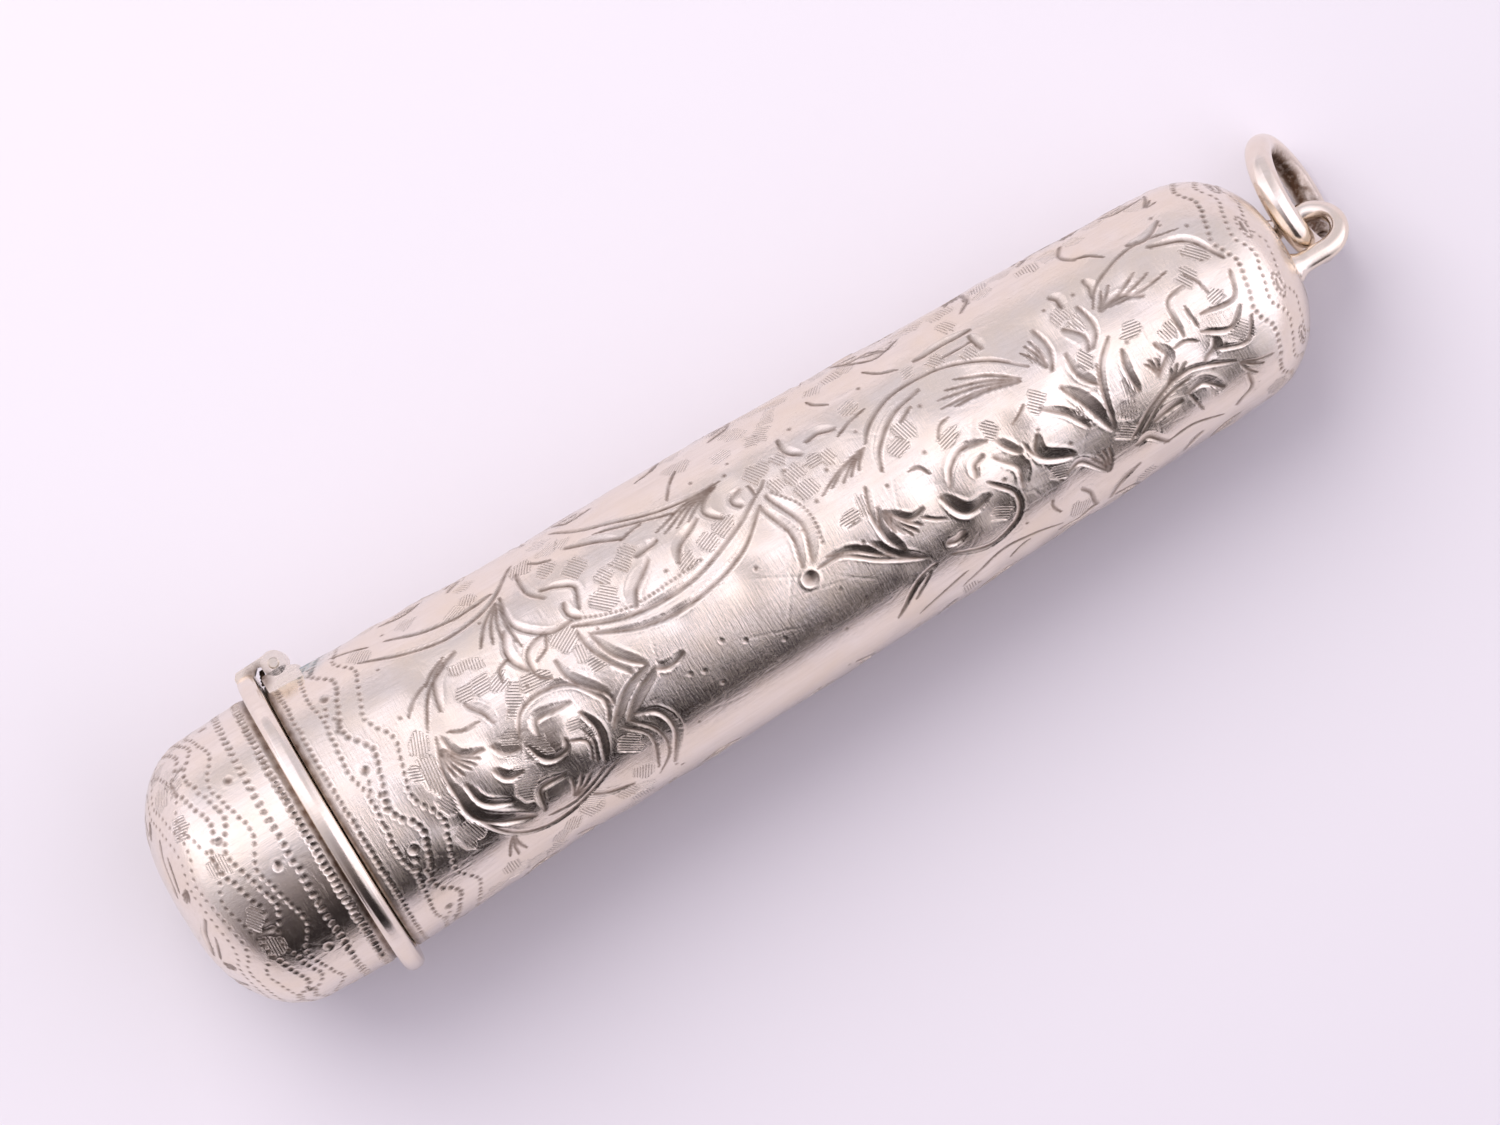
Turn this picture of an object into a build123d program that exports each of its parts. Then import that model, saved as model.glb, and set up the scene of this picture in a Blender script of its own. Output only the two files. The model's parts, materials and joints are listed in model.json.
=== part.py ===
from build123d import *
import math
import os

# Silver needle case, lying on its side. It is built about its own long axis in the case frame: +X from the
# lid to the suspension loop, X = 0 at the seam between lid and body, hinge pin along Z on the +Y side.
# The finished parts are then tilted, so that the case rests on the lid band and on the body near its far end,
# and moved, so that the origin is on the table under the middle of the whole. All sizes in millimetres.

# Body: (distance from the seam, outer radius) down the tapering tube
BODY_PROFILE = [(0.08, 8.76), (5.8, 8.53), (12, 8.26), (24, 8.18), (36, 7.86), (47, 7.46), (58.9, 7.08)]
BODY_WALL = 0.4
END_DEPTH = 5.5            # dome soldered on the far end
END_FLAT_R = 1.5           # nearly flat middle of that dome

# Lid
LID_RIM_R = 8.82
LID_SHOULDER = (-5.5, 8.6)
LID_DEPTH = 10.65
LID_FLAT_R = 1.8
LID_WALL = 0.35
BAND_WIDTH = 1.15          # raised, slightly crowned rim strip that a fingernail catches
BAND_R = 9.9
BAND_CROWN = 0.12
EDGE_ROUND = 0.18

# Inner sleeve of the mouth, which the lid closes over
COLLAR_R = 8.2
COLLAR_RISE = 1.2
COLLAR_DEPTH = 8.0
COLLAR_WALL = 0.35
COLLAR_LEAD = 0.2          # bevel at its front edge and step at the mouth
SOLDER_LAP = 0.04          # how far soldered pieces bite into each other

# Hinge
PIN_X = 1.4
PIN_Y = 9.6
PIN_R = 0.34
PIN_BORE_GAP = 0.04
KNUCKLE_R = 0.75
HINGE_LENGTH = 6.0
KNUCKLE_GAP = 0.06
LID_KNUCKLE_LENGTH = 2.0
BEARER_X = (0.3, 2.5)
BEARER_TOP = 9.25          # saddle's flat, under the knuckles
BEARER_FLAT = 0.35         # how far the flat goes on past the pin
BEARER_TOE = 0.1           # thickness left where the saddle runs out on the wall
BEARER_FOOT = 7.5          # where its block starts, before the wall is cut away from it
BEARER_EDGE = 0.15
BEARER_ROOM = 0.12         # round the lid's knuckle
LEAF_THICK = 0.4
LEAF_INSET = 0.05          # leaf's end from the far side of the rim band
LEAF_EASE = 0.25           # length of its sloping front
LEAF_DROP = 0.1            # how much it falls towards the band
LEAF_BITE = 0.4            # depth soldered into the band
LEAF_TOE = 0.35            # reach of its underside past the seam

# Suspension loop: a U of round wire, both feet soldered on the end dome
LOOP_WIRE_R = 0.64
LOOP_HALF_SPAN = 1.64      # wire centre to case axis
LOOP_REACH = 4.3           # from the dome's pole to the outside of the bend
LOOP_ROLL = 40.0           # turn of the loop about the case axis, degrees
LOOP_ROOT = 0.45           # length of each foot inside the dome

# Jump ring that hangs in the loop
RING_R = 3.56              # to the wire's centre
RING_WIRE_R = 0.8
RING_SPLIT = 1.6           # butt joint, degrees of the ring left open
RING_CROSSING = 1.4        # where the ring's wire crosses the case axis, past the pole
RING_LEAN = 20.0           # plane of the ring from upright, foot away from the case
RING_ROLL = 41.0           # ring wire's crossing, from the top of the ring towards -Y
RING_SPLIT_AT = 115.0      # where the butt joint lies round the ring

POLE_X = BODY_PROFILE[-1][0] + END_DEPTH
BAND_MID_X = -BAND_WIDTH / 2


def rest_tilt():
    """Slope of the case axis, in degrees, when band and body both touch the table."""
    end_x, end_r = BODY_PROFILE[-1]
    outline = list(BODY_PROFILE)
    for step in range(1, 60):
        turn = math.radians(step)
        outline.append((end_x + END_DEPTH * math.sin(turn), END_FLAT_R + (end_r - END_FLAT_R) * math.cos(turn)))
    return min(math.degrees(math.atan2(BAND_R - r, x - BAND_MID_X)) for x, r in outline if x > BODY_PROFILE[2][0])


TILT = rest_tilt()


def lathe(outline):
    """A closed outline of edges in the XY plane turned about the X axis."""
    face = make_face(Wire(outline))
    return revolve(face, Axis.X, 360)


def dome_lines(start_x, start_r, depth, flat_r, side):
    """Quarter ellipse and nearly flat pole, from the rim to the axis. side is +1 or -1 along X."""
    bulge_r = start_r - flat_r
    corner = EllipticalCenterArc(
        center=(start_x, flat_r), x_radius=depth, y_radius=bulge_r,
        start_angle=0 if side > 0 else 90, arc_size=90,
    )
    flat = Line((start_x + side * depth, flat_r), (start_x + side * depth, 0))
    return [corner, flat]


def body_tube():
    outer = Spline(*BODY_PROFILE)
    inner = Spline(*[(x, r - BODY_WALL) for x, r in BODY_PROFILE])
    mouth = Line(inner @ 0, outer @ 0)
    end = Line(inner @ 1, outer @ 1)
    return lathe([outer, end, inner, mouth])


def end_dome():
    x, r = BODY_PROFILE[-1]
    outer = dome_lines(x, r, END_DEPTH, END_FLAT_R, 1)
    inner = dome_lines(x, r - BODY_WALL, END_DEPTH - BODY_WALL, END_FLAT_R, 1)
    rim = Line((x, r - BODY_WALL), (x, r))
    axis = Line((x + END_DEPTH - BODY_WALL, 0), (x + END_DEPTH, 0))
    return lathe([rim, *outer, axis, *inner])


def mouth_collar():
    """Sleeve soldered inside the mouth. Outside it follows the tube's bore, then steps in where it stands proud."""
    mouth_x, mouth_r = BODY_PROFILE[0]
    deep_x = COLLAR_DEPTH
    share = (deep_x - BODY_PROFILE[1][0]) / (BODY_PROFILE[2][0] - BODY_PROFILE[1][0])
    deep_r = BODY_PROFILE[1][1] + share * (BODY_PROFILE[2][1] - BODY_PROFILE[1][1]) - BODY_WALL + SOLDER_LAP
    seat_r = mouth_r - BODY_WALL + SOLDER_LAP
    points = [
        (-COLLAR_RISE, COLLAR_R - COLLAR_LEAD), (-COLLAR_RISE + COLLAR_LEAD, COLLAR_R), (mouth_x, COLLAR_R),
        (mouth_x + COLLAR_LEAD, seat_r), (deep_x, deep_r), (deep_x, deep_r - COLLAR_WALL - SOLDER_LAP),
        (-COLLAR_RISE, COLLAR_R - COLLAR_WALL),
    ]
    return lathe(Polyline(*points, close=True).edges())


def lid_dome():
    x, r = LID_SHOULDER
    depth = LID_DEPTH + x
    outer = dome_lines(x, r, depth, LID_FLAT_R, -1)
    inner = dome_lines(x, r - LID_WALL, depth - LID_WALL, LID_FLAT_R, -1)
    skirt = Line((0, LID_RIM_R), (x, r))
    skirt_inside = Line((0, LID_RIM_R - LID_WALL), (x, r - LID_WALL))
    rim = Line((0, LID_RIM_R - LID_WALL), (0, LID_RIM_R))
    axis = Line((-LID_DEPTH, 0), (-LID_DEPTH + LID_WALL, 0))
    return lathe([rim, skirt, *outer, axis, *inner, skirt_inside])


def lid_rim_band():
    """Crowned strip soldered round the lid's rim."""
    inner_r = LID_RIM_R - SOLDER_LAP
    side_r = BAND_R - BAND_CROWN - EDGE_ROUND
    right = Line((0, inner_r), (0, side_r))
    right_edge = RadiusArc((0, side_r), (-EDGE_ROUND, side_r + EDGE_ROUND), -EDGE_ROUND)
    crown = ThreePointArc(
        (-EDGE_ROUND, side_r + EDGE_ROUND), (BAND_MID_X, BAND_R), (-BAND_WIDTH + EDGE_ROUND, side_r + EDGE_ROUND))
    left_edge = RadiusArc((-BAND_WIDTH + EDGE_ROUND, side_r + EDGE_ROUND), (-BAND_WIDTH, side_r), -EDGE_ROUND)
    left = Line((-BAND_WIDTH, side_r), (-BAND_WIDTH, inner_r))
    bottom = Line((-BAND_WIDTH, inner_r), (0, inner_r))
    return lathe([right, right_edge, crown, left_edge, left, bottom])


def on_pin(z_low, z_high, radius):
    """Round bar about the pin's axis, between two heights."""
    height = z_high - z_low
    return Pos(PIN_X, PIN_Y, (z_low + z_high) / 2) * Cylinder(radius, height)


def hinge_bearer():
    """Saddle soldered on the body, which carries the two outer knuckles and leaves room for the lid's knuckle."""
    low_x, high_x = BEARER_X
    wall_x, wall_r = BODY_PROFILE[0]
    slope_x, slope_r = BODY_PROFILE[1]
    before_wall_x = wall_x - 1
    side = Polyline(
        (low_x, BEARER_FOOT), (low_x, BEARER_TOP - BEARER_EDGE), (low_x + BEARER_EDGE, BEARER_TOP),
        (PIN_X + BEARER_FLAT, BEARER_TOP), (high_x, wall_r + BEARER_TOE), (high_x, BEARER_FOOT), close=True)
    block = extrude(make_face(side), HINGE_LENGTH / 2, both=True)
    core = lathe(Polyline(
        (before_wall_x, 0), (before_wall_x, wall_r - SOLDER_LAP), (wall_x, wall_r - SOLDER_LAP),
        (slope_x, slope_r - SOLDER_LAP), (slope_x, 0), close=True).edges())
    half_room = LID_KNUCKLE_LENGTH / 2 + KNUCKLE_GAP
    room = on_pin(-half_room, half_room, KNUCKLE_R + BEARER_ROOM)
    return block - core - room


def body_knuckle(side):
    """Outer knuckle, side +1 above and -1 below."""
    near = side * (LID_KNUCKLE_LENGTH / 2 + KNUCKLE_GAP)
    far = side * HINGE_LENGTH / 2
    low, high = min(near, far), max(near, far)
    return on_pin(low, high, KNUCKLE_R) - on_pin(low, high, PIN_R - 0.01)


def lid_knuckle():
    """Middle knuckle and the leaf that carries it over from the lid's rim band."""
    half = LID_KNUCKLE_LENGTH / 2
    top = PIN_Y + KNUCKLE_R
    front_x = -BAND_WIDTH + LEAF_INSET
    bite_r = BAND_R - LEAF_BITE
    leaf = Polyline(
        (PIN_X, top), (front_x + LEAF_EASE, top - LEAF_DROP), (front_x, top - LEAF_THICK), (front_x, bite_r),
        (-LEAF_INSET, bite_r), (LEAF_TOE, BAND_R), (PIN_X, PIN_Y), close=True)
    strip = extrude(make_face(leaf), half, both=True)
    return strip + on_pin(-half, half, KNUCKLE_R) - on_pin(-half, half, PIN_R + PIN_BORE_GAP)


def hinge_pin():
    head = 0.08
    half = HINGE_LENGTH / 2 + head
    return chamfer(on_pin(-half, half, PIN_R).edges(), head)


def loop_frame():
    """Plane of the loop: its X along the case axis, its Y across the loop."""
    return Plane(origin=(POLE_X, 0, 0), x_dir=(1, 0, 0), z_dir=(0, -math.sin(math.radians(LOOP_ROLL)),
                                                              -math.cos(math.radians(LOOP_ROLL))))


def suspension_loop():
    bend_x = LOOP_REACH - LOOP_WIRE_R - LOOP_HALF_SPAN
    across = LOOP_HALF_SPAN
    root = Line((-LOOP_ROOT, -across), (bend_x, -across))
    bend = ThreePointArc((bend_x, -across), (bend_x + across, 0), (bend_x, across))
    back = Line((bend_x, across), (-LOOP_ROOT, across))
    path = loop_frame() * Wire([root, bend, back])
    return sweep(Plane(origin=path @ 0, z_dir=path % 0) * Circle(LOOP_WIRE_R), path=path)


def ring_axes():
    """Ring centre from the wire's crossing, its in-plane up direction and its normal, in the table frame."""
    lean = math.radians(RING_LEAN)
    up = Vector(-math.sin(lean), 0, math.cos(lean))
    roll = math.radians(RING_ROLL)
    to_crossing = Vector(0, -math.sin(roll), 0) + up * math.cos(roll)
    normal = Vector(math.cos(lean), 0, math.sin(lean))
    return to_crossing, up, normal


def jump_ring():
    """Made in the table frame, hanging through the loop with its foot on the table. Also gives its hinge."""
    slope = math.radians(TILT)
    crossing = Vector(math.cos(slope), 0, -math.sin(slope)) * (POLE_X + RING_CROSSING)
    to_crossing, up, normal = ring_axes()
    centre = crossing - to_crossing * RING_R
    plane = Plane(origin=centre, x_dir=up, z_dir=normal)
    section = Plane.XZ * Pos(RING_R, 0, 0) * Circle(RING_WIRE_R)
    ring = plane * Rot(0, 0, RING_SPLIT_AT) * revolve(section, Axis.Z, 360 - RING_SPLIT)
    return ring, crossing, normal.cross(to_crossing)


CASE_PARTS = {
    "body_tube": body_tube(),
    "end_dome": end_dome(),
    "mouth_collar": mouth_collar(),
    "hinge_bearer": hinge_bearer(),
    "knuckle_upper": body_knuckle(1),
    "knuckle_lower": body_knuckle(-1),
    "hinge_pin": hinge_pin(),
    "suspension_loop": suspension_loop(),
    "lid_dome": lid_dome(),
    "lid_rim_band": lid_rim_band(),
    "lid_knuckle": lid_knuckle(),
}

slope = Rot(0, TILT, 0)
tilted = {name: slope * shape for name, shape in CASE_PARTS.items()}
tilted["jump_ring"], ring_pivot, ring_axis = jump_ring()
box = Compound(list(tilted.values())).bounding_box()
to_origin = Pos(-(box.min.X + box.max.X) / 2, -(box.min.Y + box.max.Y) / 2, -box.min.Z)

os.makedirs("parts", exist_ok=True)
for name, shape in tilted.items():
    export_step(to_origin * shape, f"parts/{name}.step")

shift = Vector(to_origin.position)
pin_point = Vector((slope * Pos(PIN_X, PIN_Y, 0)).position)
print("case axis slopes", TILT, "degrees; box", box.size, "; seam centre at", shift)
print("lid hinge through", pin_point + shift)
print("jump ring hinge through", ring_pivot + shift, "along", ring_axis)
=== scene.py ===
import json
import math

import bpy
import numpy as np
from mathutils import Matrix, Vector


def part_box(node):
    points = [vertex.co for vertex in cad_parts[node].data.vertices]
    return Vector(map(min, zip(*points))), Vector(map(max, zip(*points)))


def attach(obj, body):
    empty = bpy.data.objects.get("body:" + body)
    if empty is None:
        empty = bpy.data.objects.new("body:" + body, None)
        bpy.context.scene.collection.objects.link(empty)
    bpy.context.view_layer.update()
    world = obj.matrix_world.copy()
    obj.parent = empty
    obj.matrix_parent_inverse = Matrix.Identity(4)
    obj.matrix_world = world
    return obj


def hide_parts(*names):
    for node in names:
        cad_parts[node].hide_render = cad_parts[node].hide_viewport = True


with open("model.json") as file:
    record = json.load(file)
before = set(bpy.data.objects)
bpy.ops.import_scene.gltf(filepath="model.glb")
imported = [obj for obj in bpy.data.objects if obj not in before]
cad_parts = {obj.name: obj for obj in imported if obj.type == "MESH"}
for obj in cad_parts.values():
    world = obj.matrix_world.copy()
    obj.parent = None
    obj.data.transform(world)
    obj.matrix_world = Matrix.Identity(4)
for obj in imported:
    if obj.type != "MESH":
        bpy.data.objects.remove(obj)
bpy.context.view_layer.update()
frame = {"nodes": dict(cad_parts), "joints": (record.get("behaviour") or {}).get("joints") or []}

# ---------------------------------------------------------------------------------------------------------
# Sizes in millimetres, in the case frame: +X from the lid to the loop, X = 0 at the seam, hinge on the +Y
# side.
# ---------------------------------------------------------------------------------------------------------
MM = 0.001
BODY_PROFILE = [(0.08, 8.76), (5.8, 8.53), (12, 8.26), (24, 8.18), (36, 7.86), (47, 7.46), (58.9, 7.08)]
BODY_WALL = 0.4
END_DEPTH = 5.5
END_FLAT_R = 1.5
LID_RIM_R = 8.82
LID_SHOULDER = (-5.5, 8.6)
LID_DEPTH = 10.65
LID_FLAT_R = 1.8
LID_WALL = 0.35
BAND_WIDTH = 1.15
BAND_R = 9.9
COLLAR_R = 8.2
COLLAR_RISE = 1.2
COLLAR_DEPTH = 8.0
COLLAR_WALL = 0.35
MOUTH_ROUND = 0.15         # wear on the body's lip
LOOP_WIRE_R = 0.64
LOOP_HALF_SPAN = 1.64
LOOP_REACH = 4.3
LOOP_ROLL = math.radians(40)
RING_R = 3.56
RING_WIRE_R = 0.8
RING_SPLIT_AT = math.radians(73.2)      # the butt joint, from where the ring crosses the loop
RING_SPLIT_HALF = math.radians(0.8)     # half of the joint's gap
POLE_X = BODY_PROFILE[-1][0] + END_DEPTH

GRID = 0.095               # spacing of the engraved grid
GROUND_GAP = 0.75          # how far the shading's middle stays from a stroke
HATCH_STEP = 0.175         # spacing of the fine shading lines
DIRT_REACH = 0.16          # how far from the bottom of a cut its dirt reaches
PUNCH = -9.0               # marks a round punch in the column that holds how far a cut leans
UNROLL_R = 8.2             # radius at which distances round the wall are measured
ROUND = 2 * math.pi * UNROLL_R

# Graver's cuts: half width, depth, share of the length that tapers at each end, and how far the bottom leans
# towards one side.
CUTS = {
    "hair": (0.07, 0.017, (0.3, 0.3), 0.0),
    "fine": (0.11, 0.06, (0.3, 0.3), 0.3),
    "stem": (0.18, 0.09, (0.15, 0.3), 0.45),
    "broad": (0.28, 0.11, (0.45, 0.45), 0.55),
    "leaf": (0.34, 0.1, (0.5, 0.5), 0.65),
    "sickle": (0.46, 0.115, (0.5, 0.5), 0.6),
}

# The hinge's axis and place give the slope of the case and where the seam's centre lies.
HINGE = next(j for j in frame["joints"] if j["name"] == "lid_hinge")
RING_JOINT = next(j for j in frame["joints"] if j["name"] == "ring_swing")
PIN_X, PIN_Y = 1.4, 9.6
TILT = math.atan2(-HINGE["axis"][0], -HINGE["axis"][2])
SLOPE = Matrix.Rotation(TILT, 4, "Y")
SEAM = Vector(HINGE["pos_m"]) - SLOPE @ Vector((PIN_X, PIN_Y, 0)) * MM
TO_ROW = Matrix.Translation(SEAM) @ SLOPE @ Matrix.Scale(MM, 4)


def to_row(points):
    """Points in the case frame, in millimetres, as row-frame points in metres."""
    m = np.array(TO_ROW)
    return np.asarray(points, float) @ m[:3, :3].T + m[:3, 3]


# ---------------------------------------------------------------------------------------------------------
# Mesh helpers
# ---------------------------------------------------------------------------------------------------------
def mesh_piece(name, points, quads, tris, materials, sharp=40, face_slots=None):
    """A smooth-shaded object from row-frame points. Quads and triangles are arrays of point indices."""
    quads = np.asarray(quads, np.int32).reshape(-1, 4)
    tris = np.asarray(tris, np.int32).reshape(-1, 3)
    me = bpy.data.meshes.new(name)
    me.vertices.add(len(points))
    me.vertices.foreach_set("co", np.asarray(points, np.float32).ravel())
    corners = np.concatenate([quads.ravel(), tris.ravel()])
    me.loops.add(len(corners))
    me.loops.foreach_set("vertex_index", corners)
    starts = np.concatenate([np.arange(len(quads)) * 4, len(quads) * 4 + np.arange(len(tris)) * 3])
    me.polygons.add(len(starts))
    me.polygons.foreach_set("loop_start", starts.astype(np.int32))
    me.polygons.foreach_set("use_smooth", np.ones(len(starts), bool))
    for m in materials:
        me.materials.append(m)
    if face_slots is not None:
        me.polygons.foreach_set("material_index", np.asarray(face_slots, np.int32))
    me.update(calc_edges=True)
    me.validate()
    me.set_sharp_from_angle(angle=math.radians(sharp))
    ob = bpy.data.objects.new(name, me)
    bpy.context.scene.collection.objects.link(ob)
    return ob


def add_attribute(ob, name, values):
    """A float per vertex, which a material reads by name."""
    layer = ob.data.attributes.new(name, "FLOAT", "POINT")
    layer.data.foreach_set("value", np.asarray(values, np.float32))


def grid_quads(rows, cols, first=0, flip=False):
    """Quads of a grid that closes on itself across its columns."""
    i, j = np.meshgrid(np.arange(rows - 1), np.arange(cols), indexing="ij")
    k = (j + 1) % cols
    quad = np.stack([i * cols + j, i * cols + k, (i + 1) * cols + k, (i + 1) * cols + j], -1).reshape(-1, 4)
    return first + (quad[:, ::-1] if flip else quad)


def turned(outline, cols):
    """Case-frame points of an (x, r) outline turned about the case axis: rows by columns."""
    turn = np.arange(cols) * 2 * math.pi / cols
    x, r = outline[:, 0:1], outline[:, 1:2]
    return np.stack([x + 0 * turn, -r * np.sin(turn), r * np.cos(turn)], -1)


def even_steps(outline, step):
    """An (x, r) polyline resampled at even steps, with each sample's distance along it."""
    outline = np.asarray(outline, float)
    run = np.concatenate([[0], np.cumsum(np.hypot(*np.diff(outline, axis=0).T))])
    along = np.linspace(0, run[-1], max(2, round(run[-1] / step) + 1))
    return np.stack([np.interp(along, run, outline[:, k]) for k in (0, 1)], 1), along


def smooth_through(points, per_span=24):
    """A Catmull-Rom curve through the points, in any number of dimensions."""
    p = np.asarray(points, float)
    p = np.vstack([2 * p[0] - p[1], p, 2 * p[-1] - p[-2]])
    t = np.linspace(0, 1, per_span, endpoint=False)[:, None]
    spans = []
    for a, b, c, d in zip(p[:-3], p[1:-2], p[2:-1], p[3:]):
        spans.append(0.5 * (2 * b + (c - a) * t + (2 * a - 5 * b + 4 * c - d) * t**2
                            + (3 * b - a - 3 * c + d) * t**3))
    return np.vstack([*spans, p[-2:-1]])


def rounded_corner(centre, radius, start, end, steps=5):
    return [(centre[0] + radius * math.cos(a), centre[1] + radius * math.sin(a))
            for a in np.linspace(math.radians(start), math.radians(end), steps)]


def dome_outline(start_x, start_r, depth, flat_r, side):
    """Quarter ellipse from the rim to a small, nearly flat pole."""
    turn = np.linspace(0, math.pi / 2, 60)
    x = start_x + side * depth * np.sin(turn)
    r = flat_r + (start_r - flat_r) * np.cos(turn)
    return np.vstack([np.stack([x, r], 1), [[start_x + side * depth, 0.02]]])


# ---------------------------------------------------------------------------------------------------------
# Engraving: cuts are laid out on the unrolled wall as (distance along it, distance round it from the top,
# positive towards -Y), then sunk into a fine grid.
# ---------------------------------------------------------------------------------------------------------
class Engraving:
    def __init__(self, outline, seed):
        self.outline, self.along = even_steps(outline, GRID)
        self.cols = round(ROUND / GRID)
        self.rows = len(self.along)
        self.cell = ROUND / self.cols
        self.sunk = np.zeros((self.rows, self.cols))
        self.raised = np.zeros((self.rows, self.cols))
        self.relief = np.zeros((self.rows, self.cols))
        self.dirt = np.zeros((self.rows, self.cols))
        self.hatch = np.zeros((self.rows, self.cols))
        self.hatch_phase = np.zeros((self.rows, self.cols))
        self.rng = np.random.default_rng(seed)
        self.samples = []

    def radius_at(self, along):
        return np.interp(along, self.along, self.outline[:, 1])

    def seen(self, along, offset):
        """A point given by its offset towards -Y as seen from above."""
        return along, UNROLL_R * math.asin(max(-0.995, min(0.995, offset / float(self.radius_at(along)))))

    # Marks -----------------------------------------------------------------------------------------------
    def cut(self, points, kind="stem", lean=1, stay=0.9):
        """A graver's cut along a smooth line: it swells from its ends, and one side is steeper."""
        half, deep, ends, skew = CUTS[kind]
        line = smooth_through(points) if len(points) > 2 else np.linspace(points[0], points[1], 40)
        run = np.concatenate([[0], np.cumsum(np.hypot(*np.diff(line, axis=0).T))])
        if run[-1] < 1e-6:
            return
        t = np.arange(0, run[-1], GRID * 0.45) / run[-1]
        p = np.interp(t * run[-1], run, line[:, 0])
        w = np.interp(t * run[-1], run, line[:, 1])
        rise = np.clip(t / ends[0], 0, 1) * np.clip((1 - t) / ends[1], 0, 1)
        swell = np.sin(rise * math.pi / 2) ** 0.7
        dp, dw = np.gradient(p), np.gradient(w)
        size = np.hypot(dp, dw) + 1e-9
        one = np.ones(len(p))
        self.samples.append(np.stack([
            p, w, half * (0.3 + 0.7 * swell), deep * swell, -dw / size, dp / size,
            skew * lean * one, stay * one], 1))

    def pits(self, p, w, radius=0.16, deep=0.06):
        """Round punch marks."""
        p, w = np.broadcast_arrays(np.asarray(p, float), np.asarray(w, float))
        one = np.ones(p.size)
        self.samples.append(np.stack([
            p.ravel(), w.ravel(), radius * one, deep * one, one, 0 * one, PUNCH * one, 0.8 * one], 1))

    def pit_row(self, middle, swing=0.0, waves=0, spacing=0.36, radius=0.16, deep=0.06, shift=0.0, span=None):
        """Punch marks right round the wall, in a straight or wavy row."""
        here = self.radius_at(middle) / UNROLL_R
        low, high = span or (0, ROUND)
        count = max(3, round((high - low) * here / spacing))
        w = low + (np.arange(count) + 0.5) * (high - low) / count
        sway = np.sin(w / ROUND * 2 * math.pi * waves + shift)
        p = middle + swing * (sway + 0.25 * np.sin(2 * w / ROUND * 2 * math.pi * waves + 2 * shift))
        p = p + self.rng.normal(0, 0.025, count)
        self.pits(p, w + self.rng.normal(0, 0.03, count), radius * self.rng.uniform(0.85, 1.12), deep)

    def oval(self, p, w, length=0.75, width=0.5, deep=0.1):
        """A bigger punch mark, longer along the wall."""
        for k in np.linspace(-0.5, 0.5, 5):
            self.pits(p + k * (length - width), w, width / 2, deep)

    def hump(self, p, w, radius, height):
        """A gentle swelling, or a dent with a negative height."""
        low = max(0, int((p - 3 * radius - self.along[0]) / GRID))
        high = min(self.rows, int((p + 3 * radius - self.along[0]) / GRID) + 1)
        rows = self.along[low:high, None]
        cols = np.arange(self.cols)[None, :] * self.cell
        off = (cols - w + ROUND / 2) % ROUND - ROUND / 2
        self.relief[low:high] += height * np.exp(-((rows - p) ** 2 + off**2) / (radius**2))

    def shade(self, p, w, size=(1.3, 1.1), heading=0.0, sink=0.03):
        """Fine parallel lines with uneven ends, pressed in along one side. size is (length, width)."""
        reach = max(size)
        low = max(0, int((p - reach - self.along[0]) / GRID))
        high = min(self.rows, int((p + reach - self.along[0]) / GRID) + 1)
        if high <= low:
            return
        cols = np.arange(math.floor((w - reach) / self.cell), math.ceil((w + reach) / self.cell) + 1)
        dp = (self.along[low:high] - p)[:, None]
        dw = (cols * self.cell - w)[None, :] * (self.radius_at(p) / UNROLL_R)
        u = dp * math.cos(heading) + dw * math.sin(heading)
        v = dw * math.cos(heading) - dp * math.sin(heading)
        knots = np.linspace(-size[1] / 2, size[1] / 2, 5)
        ends = self.rng.normal(0, 0.13, (2, 5)) + size[0] * (0.5 - np.array([0.16, 0.03, 0, 0.03, 0.16]))
        start, end = (np.interp(v, knots, edge) for edge in ends)
        inside = np.minimum(np.minimum(u + start, end - u), size[1] / 2 - np.abs(v))
        mask = np.clip(inside / 0.16 + 0.5, 0, 1)
        rows = np.arange(low, high)[:, None]
        self.relief[rows, cols % self.cols] -= sink * np.clip(0.5 + v / size[1], 0, 1) * mask
        better = mask > self.hatch[rows, cols % self.cols]
        kept = self.hatch_phase[rows, cols % self.cols]
        self.hatch[rows, cols % self.cols] = np.where(better, mask, self.hatch[rows, cols % self.cols])
        self.hatch_phase[rows, cols % self.cols] = np.where(better, v, kept)

    # Motifs ----------------------------------------------------------------------------------------------
    def draw(self, strokes):
        """Strokes given as a kind and the places it runs through, as seen from above."""
        for kind, *spots in strokes:
            points = [self.seen(*spot) for spot in spots]
            if kind == "fan":
                self.fan(points[0], points[1:])
            elif kind == "dots":
                self.dots(points)
            else:
                self.cut(points, kind)

    def dots(self, points, spacing=0.3):
        """A row of small punch marks along a line."""
        line = smooth_through(points)
        run = np.concatenate([[0], np.cumsum(np.hypot(*np.diff(line, axis=0).T))])
        at = np.arange(0, run[-1], spacing)
        self.pits(np.interp(at, run, line[:, 0]), np.interp(at, run, line[:, 1]), 0.12, 0.045)

    def fan(self, base, tips):
        """Fine cuts that spray out of one point, each a little bowed."""
        base = np.asarray(base, float)
        for tip in np.asarray(tips, float):
            ahead = tip - base
            bow = base + 0.55 * ahead + 0.05 * np.array([-ahead[1], ahead[0]])
            self.cut([base + 0.1 * ahead, bow, tip], "fine")

    def spread(self, base, heading, spread, length, count):
        """A fan given by its heading, spread and length."""
        shares = np.linspace(-0.5, 0.5, count)
        reach = length * (1 - 0.5 * np.abs(shares)) * self.rng.uniform(0.85, 1.05, count)
        angles = heading + spread * shares
        self.fan(base, np.asarray(base) + np.stack([reach * np.cos(angles), reach * np.sin(angles)], 1))

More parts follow.
